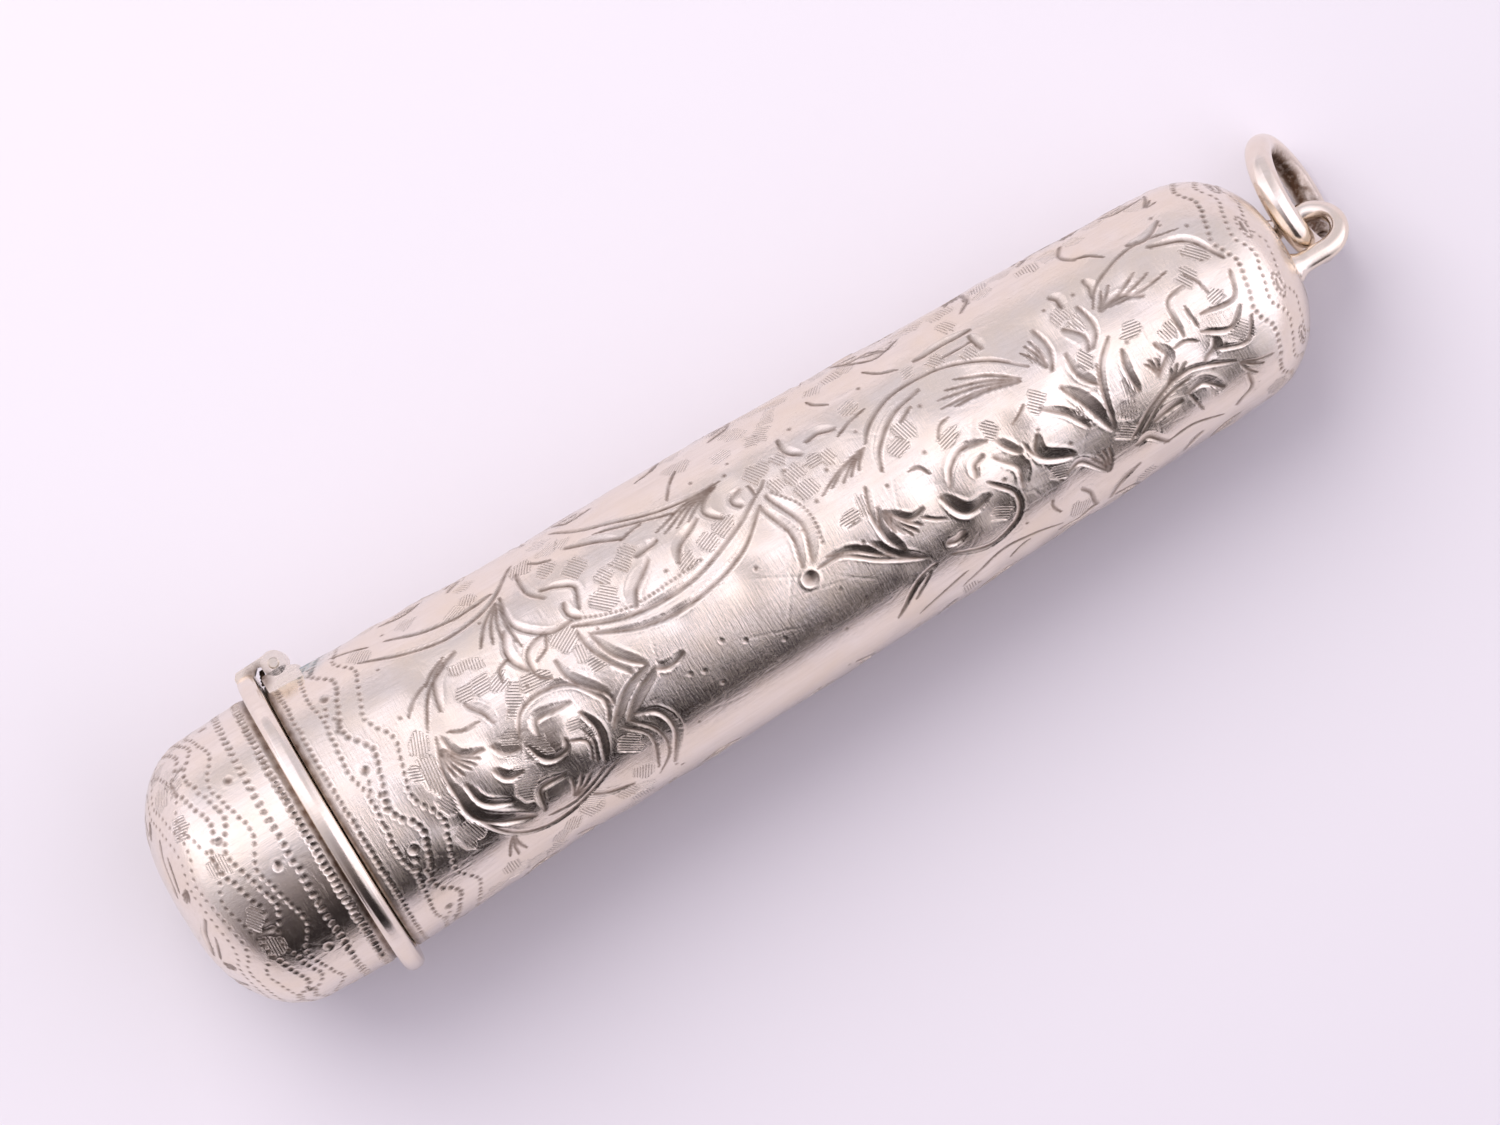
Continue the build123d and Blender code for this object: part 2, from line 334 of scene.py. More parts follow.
    def curl(self, centre, radius, start, sweep, kind, shrink=1.0):
        """An arc whose radius shrinks to `shrink` of its start. Angles from along the wall."""
        t = np.linspace(0, 1, max(6, int(abs(sweep) * 4)))
        angle = start + sweep * t
        r = radius * (1 + (shrink - 1) * t)
        self.cut(np.stack([centre[0] + r * np.cos(angle), centre[1] + r * np.sin(angle)], 1), kind)

    def spray(self, p, w, size=1.0, turn=0.0, hand=1):
        """A whole scroll: a curl with leaves outside it, a fan, a long tail and shading round it."""
        def spot(angle, reach):
            heading = turn + hand * angle
            return p + size * reach * math.cos(heading), w + size * reach * math.sin(heading)

        self.curl((p, w), 2.3 * size, turn, hand * 4.4, "broad", 0.42)
        self.cut([spot(2.2, 0.2), spot(3.2, 1.0), spot(4.2, 0.9)], "leaf")
        self.cut([spot(0.4, 0.9), spot(1.2, 1.2), spot(2.0, 1.0)], "broad")
        self.hump(p, w, 1.6 * size, 0.09)
        for angle in (0.5, 1.7, 2.9, 4.1):
            self.cut([spot(angle, 2.6), spot(angle + 0.32, 3.6), spot(angle + 0.75, 4.2)], "leaf", hand)
            self.cut([spot(angle + 0.2, 2.7), spot(angle + 0.62, 3.1)], "fine")
        self.cut([spot(0, 2.3), spot(-0.35, 3.4), spot(-0.55, 4.8), spot(-0.5, 6.4)], "stem")
        self.cut([spot(-0.12, 2.7), spot(-0.42, 3.6), spot(-0.5, 4.9)], "fine")
        self.spread(spot(-0.1, 2.7), turn - hand * 0.3, 0.9, 1.9 * size, 5)
        for angle in (0.9, 2.1, 3.3, 4.6, 5.6):
            reach = 3.1 + self.rng.uniform(-0.3, 0.5)
            spin = self.rng.uniform(-0.6, 0.6)
            self.shade(*spot(angle, reach), size=(1.4 * size, 1.2 * size), heading=turn + angle + spin)

    def ground(self, low, high, step, chance, keep_off):
        """Shading and a few light strokes between the scrolls, except where keep_off(p, w) is true."""
        taken = np.vstack(self.samples)[:, :2]
        for p in np.arange(low, high, step):
            near = taken[np.abs(taken[:, 0] - p) < 2 * step]
            for w in np.arange(0, ROUND - step / 2, step):
                spot = (p + self.rng.uniform(-0.35, 0.35) * step, w + self.rng.uniform(-0.35, 0.35) * step)
                flow = 0.9 * math.sin(p * 0.42 + 0.8 * math.sin(w * 0.37)) + self.rng.normal(0, 0.25)
                size = (self.rng.uniform(0.8, 1.4), self.rng.uniform(0.8, 1.7))
                draw = self.rng.uniform()
                bow = self.rng.uniform(-0.5, 0.5)
                apart = np.hypot(near[:, 0] - spot[0], near[:, 1] - spot[1]) if len(near) else np.array([9.0])
                if keep_off(*spot) or apart.min() < GROUND_GAP:
                    continue
                if draw < chance:
                    across = flow + (math.pi / 2 if draw < chance * 0.6 else 0)
                    self.shade(*spot, size, across, self.rng.uniform(0.01, 0.04))
                elif draw > 0.9:
                    along = np.array([math.cos(flow), math.sin(flow)])
                    side = np.array([-along[1], along[0]]) * bow
                    middle = np.array(spot)
                    kind = "broad" if bow > 0.2 else "fine"
                    self.cut([middle - 1.3 * along, middle + side, middle + 1.3 * along], kind)

    def hairlines(self, count, low, high):
        """Scratches of a long life in a pocket, most of them along the case."""
        for _ in range(count):
            p, w = self.rng.uniform(low, high), self.rng.uniform(0, ROUND)
            heading = self.rng.normal(0, 0.5) if self.rng.uniform() < 0.6 else self.rng.uniform(0, math.pi)
            reach = self.rng.uniform(0.6, 2.6)
            bend = self.rng.normal(0, 0.08) * reach
            along = np.array([math.cos(heading), math.sin(heading)])
            middle = np.array([p, w])
            side = np.array([-along[1], along[0]]) * bend
            self.cut([middle - reach * along, middle + side, middle + reach * along], "hair", 1, 0.0)

    # Result ----------------------------------------------------------------------------------------------
    def sink(self):
        """Presses all marks into the grid."""
        marks = np.vstack(self.samples)
        flat_sunk, flat_raised, flat_dirt = self.sunk.ravel(), self.raised.ravel(), self.dirt.ravel()
        for low, high in ((0, 0.12), (0.12, 0.26), (0.26, 0.6)):
            some = marks[(marks[:, 2] > low) & (marks[:, 2] <= high)]
            if not len(some):
                continue
            p, w, half, deep, side_p, side_w, lean, stay = some.T
            row, col = (p - self.along[0]) / GRID, w / self.cell
            reach = int(math.ceil(high * 1.5 / GRID)) + 1
            near_r, near_c = np.round(row).astype(int), np.round(col).astype(int)
            scale = self.radius_at(p) / UNROLL_R
            for di in range(-reach, reach + 1):
                for dj in range(-reach, reach + 1):
                    i, j = near_r + di, near_c + dj
                    dp, dw = (i - row) * GRID, (j - col) * self.cell * scale
                    off = dp * side_p + dw * side_w
                    punch = lean == PUNCH
                    far = np.hypot(dp, dw) / half
                    across = off / half
                    side_width = np.where(across > lean, 1 - lean, 1 + lean)
                    skew = np.where(punch, far, np.abs(across - lean) / side_width)
                    near_end = np.sqrt(np.maximum(far**2 - across**2, 0))
                    shape = np.where(punch, 1 - far**2, 1 - np.maximum(skew, near_end))
                    ok = (i >= 0) & (i < self.rows)
                    index = i * self.cols + j % self.cols
                    hit = ok & (shape > 0)
                    np.maximum.at(flat_sunk, index[hit], (deep * shape)[hit])
                    bottom = np.clip(1 - (1 - shape) * half / DIRT_REACH, 0, 1)
                    settled = stay * np.where(punch, shape, bottom)
                    np.maximum.at(flat_dirt, index[hit], settled[hit])
                    rim = ok & (far > 0.9) & (far < 1.6)
                    lip = deep * 0.28 * np.clip(1 - np.abs(far - 1.2) / 0.35, 0, 1)
                    np.maximum.at(flat_raised, index[rim], lip[rim])

    def soften(self):
        """Blunts the finest steps, as wear does. Shading stops where a cut crosses it."""
        self.hatch *= np.clip(1 - self.sunk / 0.02, 0, 1)
        for grid in (self.sunk, self.raised):
            grid[:] = 0.76 * grid + 0.06 * (np.roll(grid, 1, 1) + np.roll(grid, -1, 1)
                                          + np.roll(grid, 1, 0) + np.roll(grid, -1, 0))

    def surface(self):
        """Case-frame points of the engraved outside, rows by columns."""
        height = self.relief - self.sunk + self.raised * (self.sunk < 0.01)
        turn = np.arange(self.cols) * 2 * math.pi / self.cols
        step = np.gradient(self.outline, axis=0)
        step /= np.hypot(*step.T)[:, None]
        facing = 1 if step[0, 0] > 0 else -1
        out_x, out_r = -step[:, 1:2] * facing, step[:, 0:1] * facing
        x = self.outline[:, 0:1] + out_x * height
        r = np.maximum(self.outline[:, 1:2] + out_r * height, 0.0)
        return np.stack([x, -r * np.sin(turn), r * np.cos(turn)], -1)


# ---------------------------------------------------------------------------------------------------------
# Materials
# ---------------------------------------------------------------------------------------------------------
class Nodes:
    """Short calls for building a material's node tree."""
    def __init__(self, name):
        self.material = bpy.data.materials.new(name)
        self.material.use_nodes = True
        self.tree = self.material.node_tree
        self.shader = self.tree.nodes["Principled BSDF"]
        self.place = self.add("ShaderNodeTexCoord").outputs["Object"]

    def add(self, kind, inputs=None, **settings):
        node = self.tree.nodes.new(kind)
        for key, value in settings.items():
            setattr(node, key, value)
        for key, value in (inputs or {}).items():
            self.put(node.inputs[key], value)
        return node

    def put(self, socket, value):
        if isinstance(value, bpy.types.NodeSocket):
            self.tree.links.new(value, socket)
        else:
            socket.default_value = value

    def maths(self, operation, a, b=0.0, clamp=False):
        return self.add("ShaderNodeMath", {0: a, 1: b}, operation=operation, use_clamp=clamp).outputs[0]

    def span(self, value, low, high, out_low=0.0, out_high=1.0):
        node = self.add("ShaderNodeMapRange", {"Value": value, "From Min": low, "From Max": high,
                                               "To Min": out_low, "To Max": out_high})
        return node.outputs["Result"]

    def blend(self, share, a, b, mode="MIX"):
        node = self.add("ShaderNodeMix", data_type="RGBA", blend_type=mode)
        self.put(node.inputs[0], share)
        self.put(node.inputs[6], a)
        self.put(node.inputs[7], b)
        return node.outputs[2]

    def stretched(self, scale, turn=(0, 0, 0)):
        """Object coordinates in millimetres, turned with the case and scaled."""
        node = self.add("ShaderNodeMapping", {"Vector": self.place, "Rotation": turn,
                                              "Scale": [s / MM for s in scale]})
        return node.outputs["Vector"]

    def noise(self, vector, scale=1.0, detail=3.0, rough=0.5):
        return self.add("ShaderNodeTexNoise", {"Vector": vector, "Scale": scale, "Detail": detail,
                                               "Roughness": rough}).outputs["Fac"]

    def value_of(self, attribute):
        return self.add("ShaderNodeAttribute", attribute_name=attribute).outputs["Fac"]

    def bump(self, height, distance, strength=1.0, under=None):
        inputs = {"Height": height, "Distance": distance, "Strength": strength}
        if under is not None:
            inputs["Normal"] = under
        return self.add("ShaderNodeBump", inputs).outputs["Normal"]


SILVER = (0.86, 0.78, 0.69, 1)
SILVER_WARM = (0.84, 0.76, 0.68, 1)
PIN_TINT = (0.70, 0.64, 0.56, 1)
# Brown of the patina in the cuts; the same brown is the painted shade at the hinge's gap and inside the ring
PATINA_AND_SHADE_BROWN = (0.14, 0.085, 0.055, 1)
GILT = (0.88, 0.70, 0.42, 1)
VERDIGRIS = (0.22, 0.42, 0.46, 1)
PATINA_POWER = 0.6         # below 1, thin dirt also shows


def metal(name, colour=SILVER, rough=0.16, scratch=0.4, engraved=False, verdigris=False, painted_shade_spot=None):
    """Old hand-polished metal: cloudy polish, fine scratches along the case, brown patina in the cuts.

    The optional last argument paints brown shade near a place: it holds the place, the weights of its
    distances, and the distances at which the painted shade is full and gone.
    """
    n = Nodes(name)
    n.shader.inputs["Metallic"].default_value = 1.0
    along = n.stretched((0.05, 1, 1), (0, TILT, 0))
    streaks = n.noise(along, 3.6, 5.0, 0.75)
    fine = n.noise(n.stretched((0.12, 1, 1), (0, TILT, 0)), 22.0, 2.0, 0.6)
    crossing = n.noise(n.stretched((1, 0.1, 0.25), (0.3, 0.2, 0.7)), 9.0, 3.0, 0.6)
    cloud = n.noise(n.stretched((1, 1, 1)), 0.35, 4.0, 0.6)
    worn_tint = [c * k for c, k in zip(colour, (0.86, 0.84, 0.82, 1))]
    cloudy_tint = [c * k for c, k in zip(colour, (0.97, 0.93, 0.86, 1))]
    streaked = n.blend(n.span(streaks, 0.45, 0.75), colour, worn_tint)
    tint = n.blend(n.span(cloud, 0.35, 0.7), streaked, cloudy_tint)
    roughness = n.span(streaks, 0.3, 0.75, rough * 0.75, rough * 1.5)
    roughness = n.maths("ADD", roughness, n.span(cloud, 0.4, 0.8, 0.0, rough * 0.6))
    scratches = n.maths("ADD", n.maths("MULTIPLY", streaks, 0.6), n.maths("MULTIPLY", fine, 0.4))
    scratches = n.maths("ADD", scratches, n.maths("MULTIPLY", crossing, 0.4))
    normal = n.bump(scratches, 0.02 * MM, scratch)
    if engraved:
        dark = n.value_of("patina")
        worn = n.noise(n.stretched((1, 1, 1)), 1.3, 3.0, 0.6)
        dark = n.maths("POWER", dark, PATINA_POWER)
        dark = n.maths("MULTIPLY", dark, n.span(worn, 0.25, 0.65, 0.6, 1.0), clamp=True)
        lines = n.maths("SINE", n.maths("MULTIPLY", n.value_of("hatch_phase"), 2 * math.pi / HATCH_STEP))
        shaded = n.value_of("hatch")
        groove = n.maths("MULTIPLY", n.span(lines, 0.1, 0.9), shaded)
        lined = n.maths("ADD", n.maths("MULTIPLY", groove, 0.26), n.maths("MULTIPLY", shaded, 0.03))
        dark = n.maths("MAXIMUM", dark, lined)
        tint = n.blend(dark, tint, PATINA_AND_SHADE_BROWN)
        roughness = n.maths("ADD", roughness, n.maths("MULTIPLY", dark, 0.22))
        roughness = n.maths("ADD", roughness, n.maths("MULTIPLY", shaded, 0.03))
        normal = n.bump(n.maths("MULTIPLY", groove, -1.0), 0.06 * MM, 1.0, normal)
    if verdigris:
        near = n.noise(n.stretched((1, 1, 1)), 2.4, 4.0, 0.7)
        stained = n.maths("MULTIPLY", n.value_of("stain"), n.span(near, 0.3, 0.6), clamp=True)
        tint = n.blend(stained, tint, VERDIGRIS)
        roughness = n.maths("ADD", roughness, n.maths("MULTIPLY", stained, 0.35))
    # Painted shade: brown laid on round a spot where parts close or a surface faces inwards, fading with
    # distance
    if painted_shade_spot:
        middle, flattened, shade_full_at, shade_gone_at = painted_shade_spot
        off = n.add("ShaderNodeVectorMath", {0: n.place, 1: middle}, operation="SUBTRACT").outputs["Vector"]
        off = n.add("ShaderNodeVectorMath", {0: off, 1: flattened}, operation="MULTIPLY").outputs["Vector"]
        apart = n.add("ShaderNodeVectorMath", {0: off}, operation="LENGTH").outputs["Value"]
        patchy = n.noise(n.stretched((1, 1, 1)), 2.2, 3.0, 0.6)
        nearness = n.span(apart, shade_full_at, shade_gone_at, 1.0, 0.0)
        painted_shade = n.maths("MULTIPLY", nearness, n.span(patchy, 0.3, 0.55, 0.5, 1.0), clamp=True)
        tint = n.blend(painted_shade, tint, PATINA_AND_SHADE_BROWN)
        roughness = n.maths("ADD", roughness, n.maths("MULTIPLY", painted_shade, 0.25))
    n.put(n.shader.inputs["Base Color"], tint)
    n.put(n.shader.inputs["Roughness"], roughness)
    n.put(n.shader.inputs["Normal"], normal)
    return n.material


ENGRAVED = metal("engraved silver", rough=0.14, scratch=0.85, engraved=True, verdigris=True)
POLISHED = metal("polished silver", rough=0.14, scratch=0.3)
INSIDE = metal("silver inside", SILVER_WARM, rough=0.32, scratch=0.6)
GILDED = metal("worn gilding", GILT, rough=0.22, scratch=0.5)


# ---------------------------------------------------------------------------------------------------------
# Body
# ---------------------------------------------------------------------------------------------------------
def rings_of_punches(work, rows):
    for middle, swing, waves, spacing, radius, shift in rows:
        work.pit_row(middle, swing, waves, spacing, radius, 0.06, shift)


def ovals_round(work, p, count, shift, length=0.8, width=0.5):
    for k in range(count):
        work.oval(p, (k + shift) * ROUND / count, length, width)


def dents(work, count, height, low, high, keep_off=None, sizes=(0.7, 3.6)):
    """The slow unevenness of thin worn metal, or with small sizes the facets between its cuts."""
    for _ in range(count):
        p = work.rng.uniform(low, high)
        w = work.rng.uniform(0, ROUND)
        size = work.rng.uniform(*sizes)
        amount = work.rng.normal(0, height) * size / 3
        if keep_off and keep_off[0] < p < keep_off[1] and keep_off[2] < w < keep_off[3]:
            amount *= 0.15
        work.hump(p, w, size, amount)


def nicks_and_pits(work, count, low, high):
    """Small knocks of a long life in a pocket."""
    for _ in range(count):
        work.pits(work.rng.uniform(low, high), work.rng.uniform(0, ROUND), work.rng.uniform(0.1, 0.16),
                  work.rng.uniform(0.008, 0.03))


# The scrolls that lie uppermost, as (kind of cut, places along the case and across it as seen from above).
# The places were picked as pixels on enlarged crops of the photograph, turned into millimetres by a
# program, then thinned and changed a little. This is a fault.
LEFT_SCROLL = (
    ("stem", (14.2, -6.5), (11.8, -6.4), (9.5, -6.7), (7.5, -7.4)),
    ("stem", (16, -7.3), (14, -6.1), (11, -5.6), (8.2, -6.1), (5.6, -7)),
    ("fan", (14.3, -6.1), (12.1, -4.1), (12.8, -3.9), (13.4, -3.7), (14.2, -2.9)),
    ("broad", (14.5, -6), (14.4, -4.3), (15.8, -3), (17.4, -2.8)),
    ("leaf", (13.7, -4.2), (13.3, -2.9), (13.8, -1.6)),
    ("leaf", (15.7, -3), (14.4, -2.5), (14, -1.3)),
    ("fine", (14, -1.3), (14.2, -0.9), (14.8, -0.5)),
    ("fine", (15.7, -2.9), (15.3, -2.2), (14.4, -1.8)),
    ("fine", (13.1, -2.8), (12.4, -2.5), (12.2, -1.8)),
    ("leaf", (17.3, -2), (17.6, -0.8), (18.8, 1.5)),
    ("leaf", (17.9, -1.5), (18.5, 0), (19.8, 1.5)),
    ("leaf", (15.4, -1.3), (15.7, 0), (17.1, 1.8)),
    ("fine", (16.7, 1.5), (17, 2), (17, 2.6)),
    ("leaf", (19.8, 1.6), (17.9, 2.4), (16.3, 3.7)),
    ("leaf", (20.1, 2), (18.4, 2.9), (17.2, 3.8)),
    ("broad", (17.7, 3.6), (19, 4.2), (19.4, 5.6), (18.4, 7.2)),
    ("fine", (17.2, 3.7), (18.4, 5.1), (18.4, 6.5), (17.3, 7.3)),
    ("fine", (16.6, 3.8), (17.9, 5.2), (17.4, 7)),
    ("broad", (11.3, 1.4), (12.2, 0.1), (13.8, -0.3), (15.6, 0.3), (16.9, 2.4)),
    ("fine", (16.6, 1.4), (16.6, 2.4), (16.2, 3.3)),
    ("leaf", (12.3, 2), (12.7, 0.9), (14.9, 1.1)),
    ("broad", (11.5, 1.9), (12.1, 3.2), (13.2, 3.3), (13.6, 2.7)),
    ("broad", (15.1, 1.9), (15.5, 3.4), (14.9, 5.2)),
    ("fine", (14.7, 2.8), (14.9, 3.7), (14.5, 4.9)),
    ("fine", (13.6, 2.9), (14.6, 3.6), (14.3, 4.7)),
    ("leaf", (10.7, -4.7), (9.1, -4), (8.3, -2.2)),
    ("fine", (10.3, -4.6), (8.4, -3.6), (7, -1.5)),
    ("fine", (8.3, -4), (7.3, -3.5), (6.5, -2.8)),
    ("fine", (10, -4.8), (9, -4.4), (8.2, -3.8)),
    ("stem", (7.3, -1.1), (6.6, 1.5), (7.2, 4.6), (9.3, 6.4), (12, 6.5), (15.6, 5.4)),
    ("fine", (10.5, 6.1), (12.6, 6.1), (14.8, 5.3)),
    ("sickle", (6.7, 1.6), (7.1, 4.1), (9.9, 5.7)),
    ("broad", (7.4, 2.1), (7.8, 3.5), (9.3, 4.4)),
    ("broad", (7.6, -0.9), (8, 0.4), (9.3, 0.9)),
    ("fine", (8, -1), (8.9, -0.6), (9.9, -0.6)),
    ("fan", (7.1, -0.5), (7.1, 1.5), (7.6, 1.7), (8.1, 1.6), (8.5, 1.5), (8.9, 1.3)),
    ("leaf", (9.7, -1.8), (10.4, -1), (10.6, -0.1)),
    ("leaf", (9.8, 1), (10.3, 1.6), (11.1, 1.9)),
    ("leaf", (9.2, 2.2), (9.7, 2.9), (10.6, 3.1)),
    ("broad", (10.5, 5.7), (10.8, 4.5), (12.6, 4.5)),
    ("fan", (12.3, 6), (13.4, 4.9), (13.8, 5.2), (12.7, 4.8), (14.1, 5.6)),
    ("fan", (8.2, 5.9), (7.4, 7), (7.9, 7.2), (8.5, 7.1)),
)
CARTOUCHE = (
    ("broad", (17.2, -2.5), (20.4, -1.4), (24.3, -1.3), (28.1, -2.5), (30.1, -3.5)),
    ("broad", (17.9, -1.6), (20.7, -0.5), (23.7, -0.2), (27.5, -1.1), (30, -2.9)),
    ("dots", (17.6, -2.8), (19.9, -1.9), (22, -1.75), (25.6, -2)),
    ("fan", (30.1, -3.5), (30, -4.3), (31, -4.1)),
    ("leaf", (30, -2.7), (30.8, -0.6), (30.3, 1.4)),
    ("sickle", (30.6, -3.2), (31.7, -0.8), (31, 1.4)),
    ("dots", (31, -3.2), (32, -1.8), (32.2, -0.5), (31.9, 0.9)),
    ("stem", (31, 1.9), (32.6, 2), (34.4, 3.3), (37, 4.7)),
    ("broad", (31.8, 1.6), (33.4, 2.1), (35.2, 3.6)),
    ("leaf", (34.4, 2.2), (35.4, 3.5), (36.8, 4.6)),
    ("stem", (18.9, -7.8), (20.7, -7), (23.2, -6.2), (26, -5.5), (28.8, -5.3)),
    ("fine", (21, -6.4), (23.4, -5.8), (26, -5)),
    ("fan", (28.7, -5.3), (24.1, -4.7), (24.5, -4.4), (25.3, -4.3), (26, -4.2)),
    ("leaf", (24.3, -2.5), (24.9, -3.5), (26.5, -4.1)),
    ("leaf", (27.9, -5.1), (27.2, -4.3), (27.8, -3.4)),
    ("leaf", (29.5, -4.3), (28.9, -4), (29.1, -3.4)),
    ("sickle", (20.9, -1.6), (21.4, -2.7), (22.9, -3.6)),
    ("leaf", (19.2, -6.6), (20.7, -6.2), (22.3, -5.4)),
    ("fine", (22.1, -5.3), (22.8, -5.5), (23.7, -5.6)),
    ("leaf", (22.4, -4.1), (23.1, -4.3), (23.9, -4.3)),
    ("leaf", (16, -6.7), (16.1, -5.6), (16.7, -4.7)),
    ("broad", (16.7, -5.2), (17.7, -5), (18.6, -4.4), (18.1, -3.2)),
    ("leaf", (17.5, -3.9), (17.5, -3.3), (17.9, -2.7)),
    ("fine", (16.9, -6.9), (17.5, -6.6), (18.2, -6.4)),
    ("leaf", (32.9, -5.6), (33, -4.9), (33.6, -4.2)),
    ("fan", (37, -2.8), (33.3, -1.5), (34, -1.6), (34.7, -1.5), (35.3, -1.6), (35.9, -1.7)),
)
RIGHT_SCROLL = (
    ("stem", (37, -2.8), (38, -3.8), (40, -4.5), (43, -4.4), (45.5, -3.4), (47.4, -1.8)),
    ("broad", (37, -1), (37.6, -2.3), (39.2, -3.5), (41.3, -3.9)),
    ("fine", (40.4, -3.3), (40, -3.1), (39.4, -2.8)),
    ("fan", (47, -1.2), (43.3, -3.4), (42.5, -3.1), (41.9, -2.8), (41.8, -2.3), (42.5, -2)),
    ("fan", (48.3, -1), (48.2, -3.1), (47.8, -3), (47.4, -2.7)),
    ("leaf", (48.4, -0.9), (48.8, -2.1), (48.7, -3.5)),
    ("leaf", (51.1, -0.8), (51.7, -1.8), (51.6, -3.3)),
    ("leaf", (50.8, -0.8), (50.9, -1.6), (50.2, -2.6)),
    ("leaf", (49.6, -1.3), (49.7, 0), (50.3, 1.1)),
    ("stem", (52.2, -0.9), (51, 0.3), (50.3, 2), (50, 3.8)),
    ("fine", (50.8, 0.1), (50.3, 1.6), (50, 3.4)),
    ("sickle", (48.4, 0.2), (49.2, 1.7), (49.9, 3.9)),
    ("broad", (46.7, 0.6), (47.9, 1.6), (48.7, 3)),
    ("sickle", (45.8, 1.8), (45.5, 2.9), (47.2, 3.9)),
    ("fine", (44.8, 1.7), (45, 2.5), (45.5, 3.2)),
    ("sickle", (43, 1.6), (44.1, 2.8), (43.7, 4)),
    ("stem", (41.9, 2.6), (43.1, 4.1), (42.5, 5.4), (40.4, 5.9), (38.1, 5.2)),
    ("sickle", (39.2, 2), (40.1, 3.4), (41.7, 3.3)),
    ("broad", (39.9, 1.8), (40.5, 0.8), (41.6, 0.2), (43.1, 0.6)),
    ("broad", (41.5, 2.1), (41.7, 1.4), (42.5, 1.2)),
    ("broad", (43.6, 0.9), (44, 1.5), (44.5, 2.2)),
    ("fine", (41.9, -1.7), (41.2, -1.5), (40.7, -0.9)),
    ("fine", (46, -0.1), (45.4, 0.3), (44.8, 0.6)),
    ("stem", (35.7, -0.7), (35.2, 1), (35.3, 2.7)),
    ("leaf", (35.7, 0.7), (35.4, 2.2), (35.9, 3.6)),
    ("fan", (35.8, 0.8), (35.9, 2.4), (36.3, 2.8), (36.7, 3.1), (37.1, 3.1), (37.5, 2.9)),
    ("broad", (36.1, 1.2), (37, 2.1), (38, 2)),
    ("fine", (37.6, 2.4), (38.2, 2.9), (38.9, 3.3)),
    ("fine", (38.3, -0.2), (38.9, -0.1), (39.3, 0.6)),
    ("stem", (37.2, 5.2), (35.6, 5.6), (33.7, 6.8)),
    ("fine", (36.7, 5.4), (35.7, 6), (35.1, 6.4)),
    ("leaf", (38.2, 4.5), (38.8, 4.6), (39.4, 4.4)),
    ("fine", (44.9, 7), (42.7, 6.6), (40.7, 6.5), (38, 7.2)),
    ("fine", (42.7, 6.8), (41.9, 6.9), (41.2, 7.1)),
    ("fine", (38.6, 6.5), (36.7, 6.9), (35, 7.3)),
    ("broad", (46.3, 4.6), (47.4, 4.5), (48.6, 5.8)),
    ("fan", (48.6, 5.9), (47.9, 4.6), (48.3, 4.5), (48.7, 4.5), (49.1, 4.6)),
    ("leaf", (46.7, 5.9), (47.2, 6.4), (47.2, 7.1)),
    ("fine", (44.8, 5.5), (44.7, 5.9), (45, 6.4)),
    ("fine", (35.5, -6.7), (35.8, -6.3), (36.5, -5.9)),
    ("fine", (38.6, -7.4), (40.3, -6.8), (42.1, -7.1)),
    ("fan", (41.2, -6.8), (39.6, -7.3), (40.2, -7.3)),
    ("fine", (39.2, -6.5), (40, -5.9), (41, -5.5)),
    ("leaf", (34.2, -4.7), (35.1, -4.9), (36, -4.5)),
    ("fine", (35.9, -4), (37, -4.4), (38.1, -4.6)),
    ("broad", (42, -5.5), (43.7, -5.6), (45.8, -5.4)),
    ("fine", (43.4, -4.8), (44.5, -4.8), (45.5, -4.8)),
    ("leaf", (45.5, -5.1), (45.7, -4.6), (45.7, -4.1)),
)
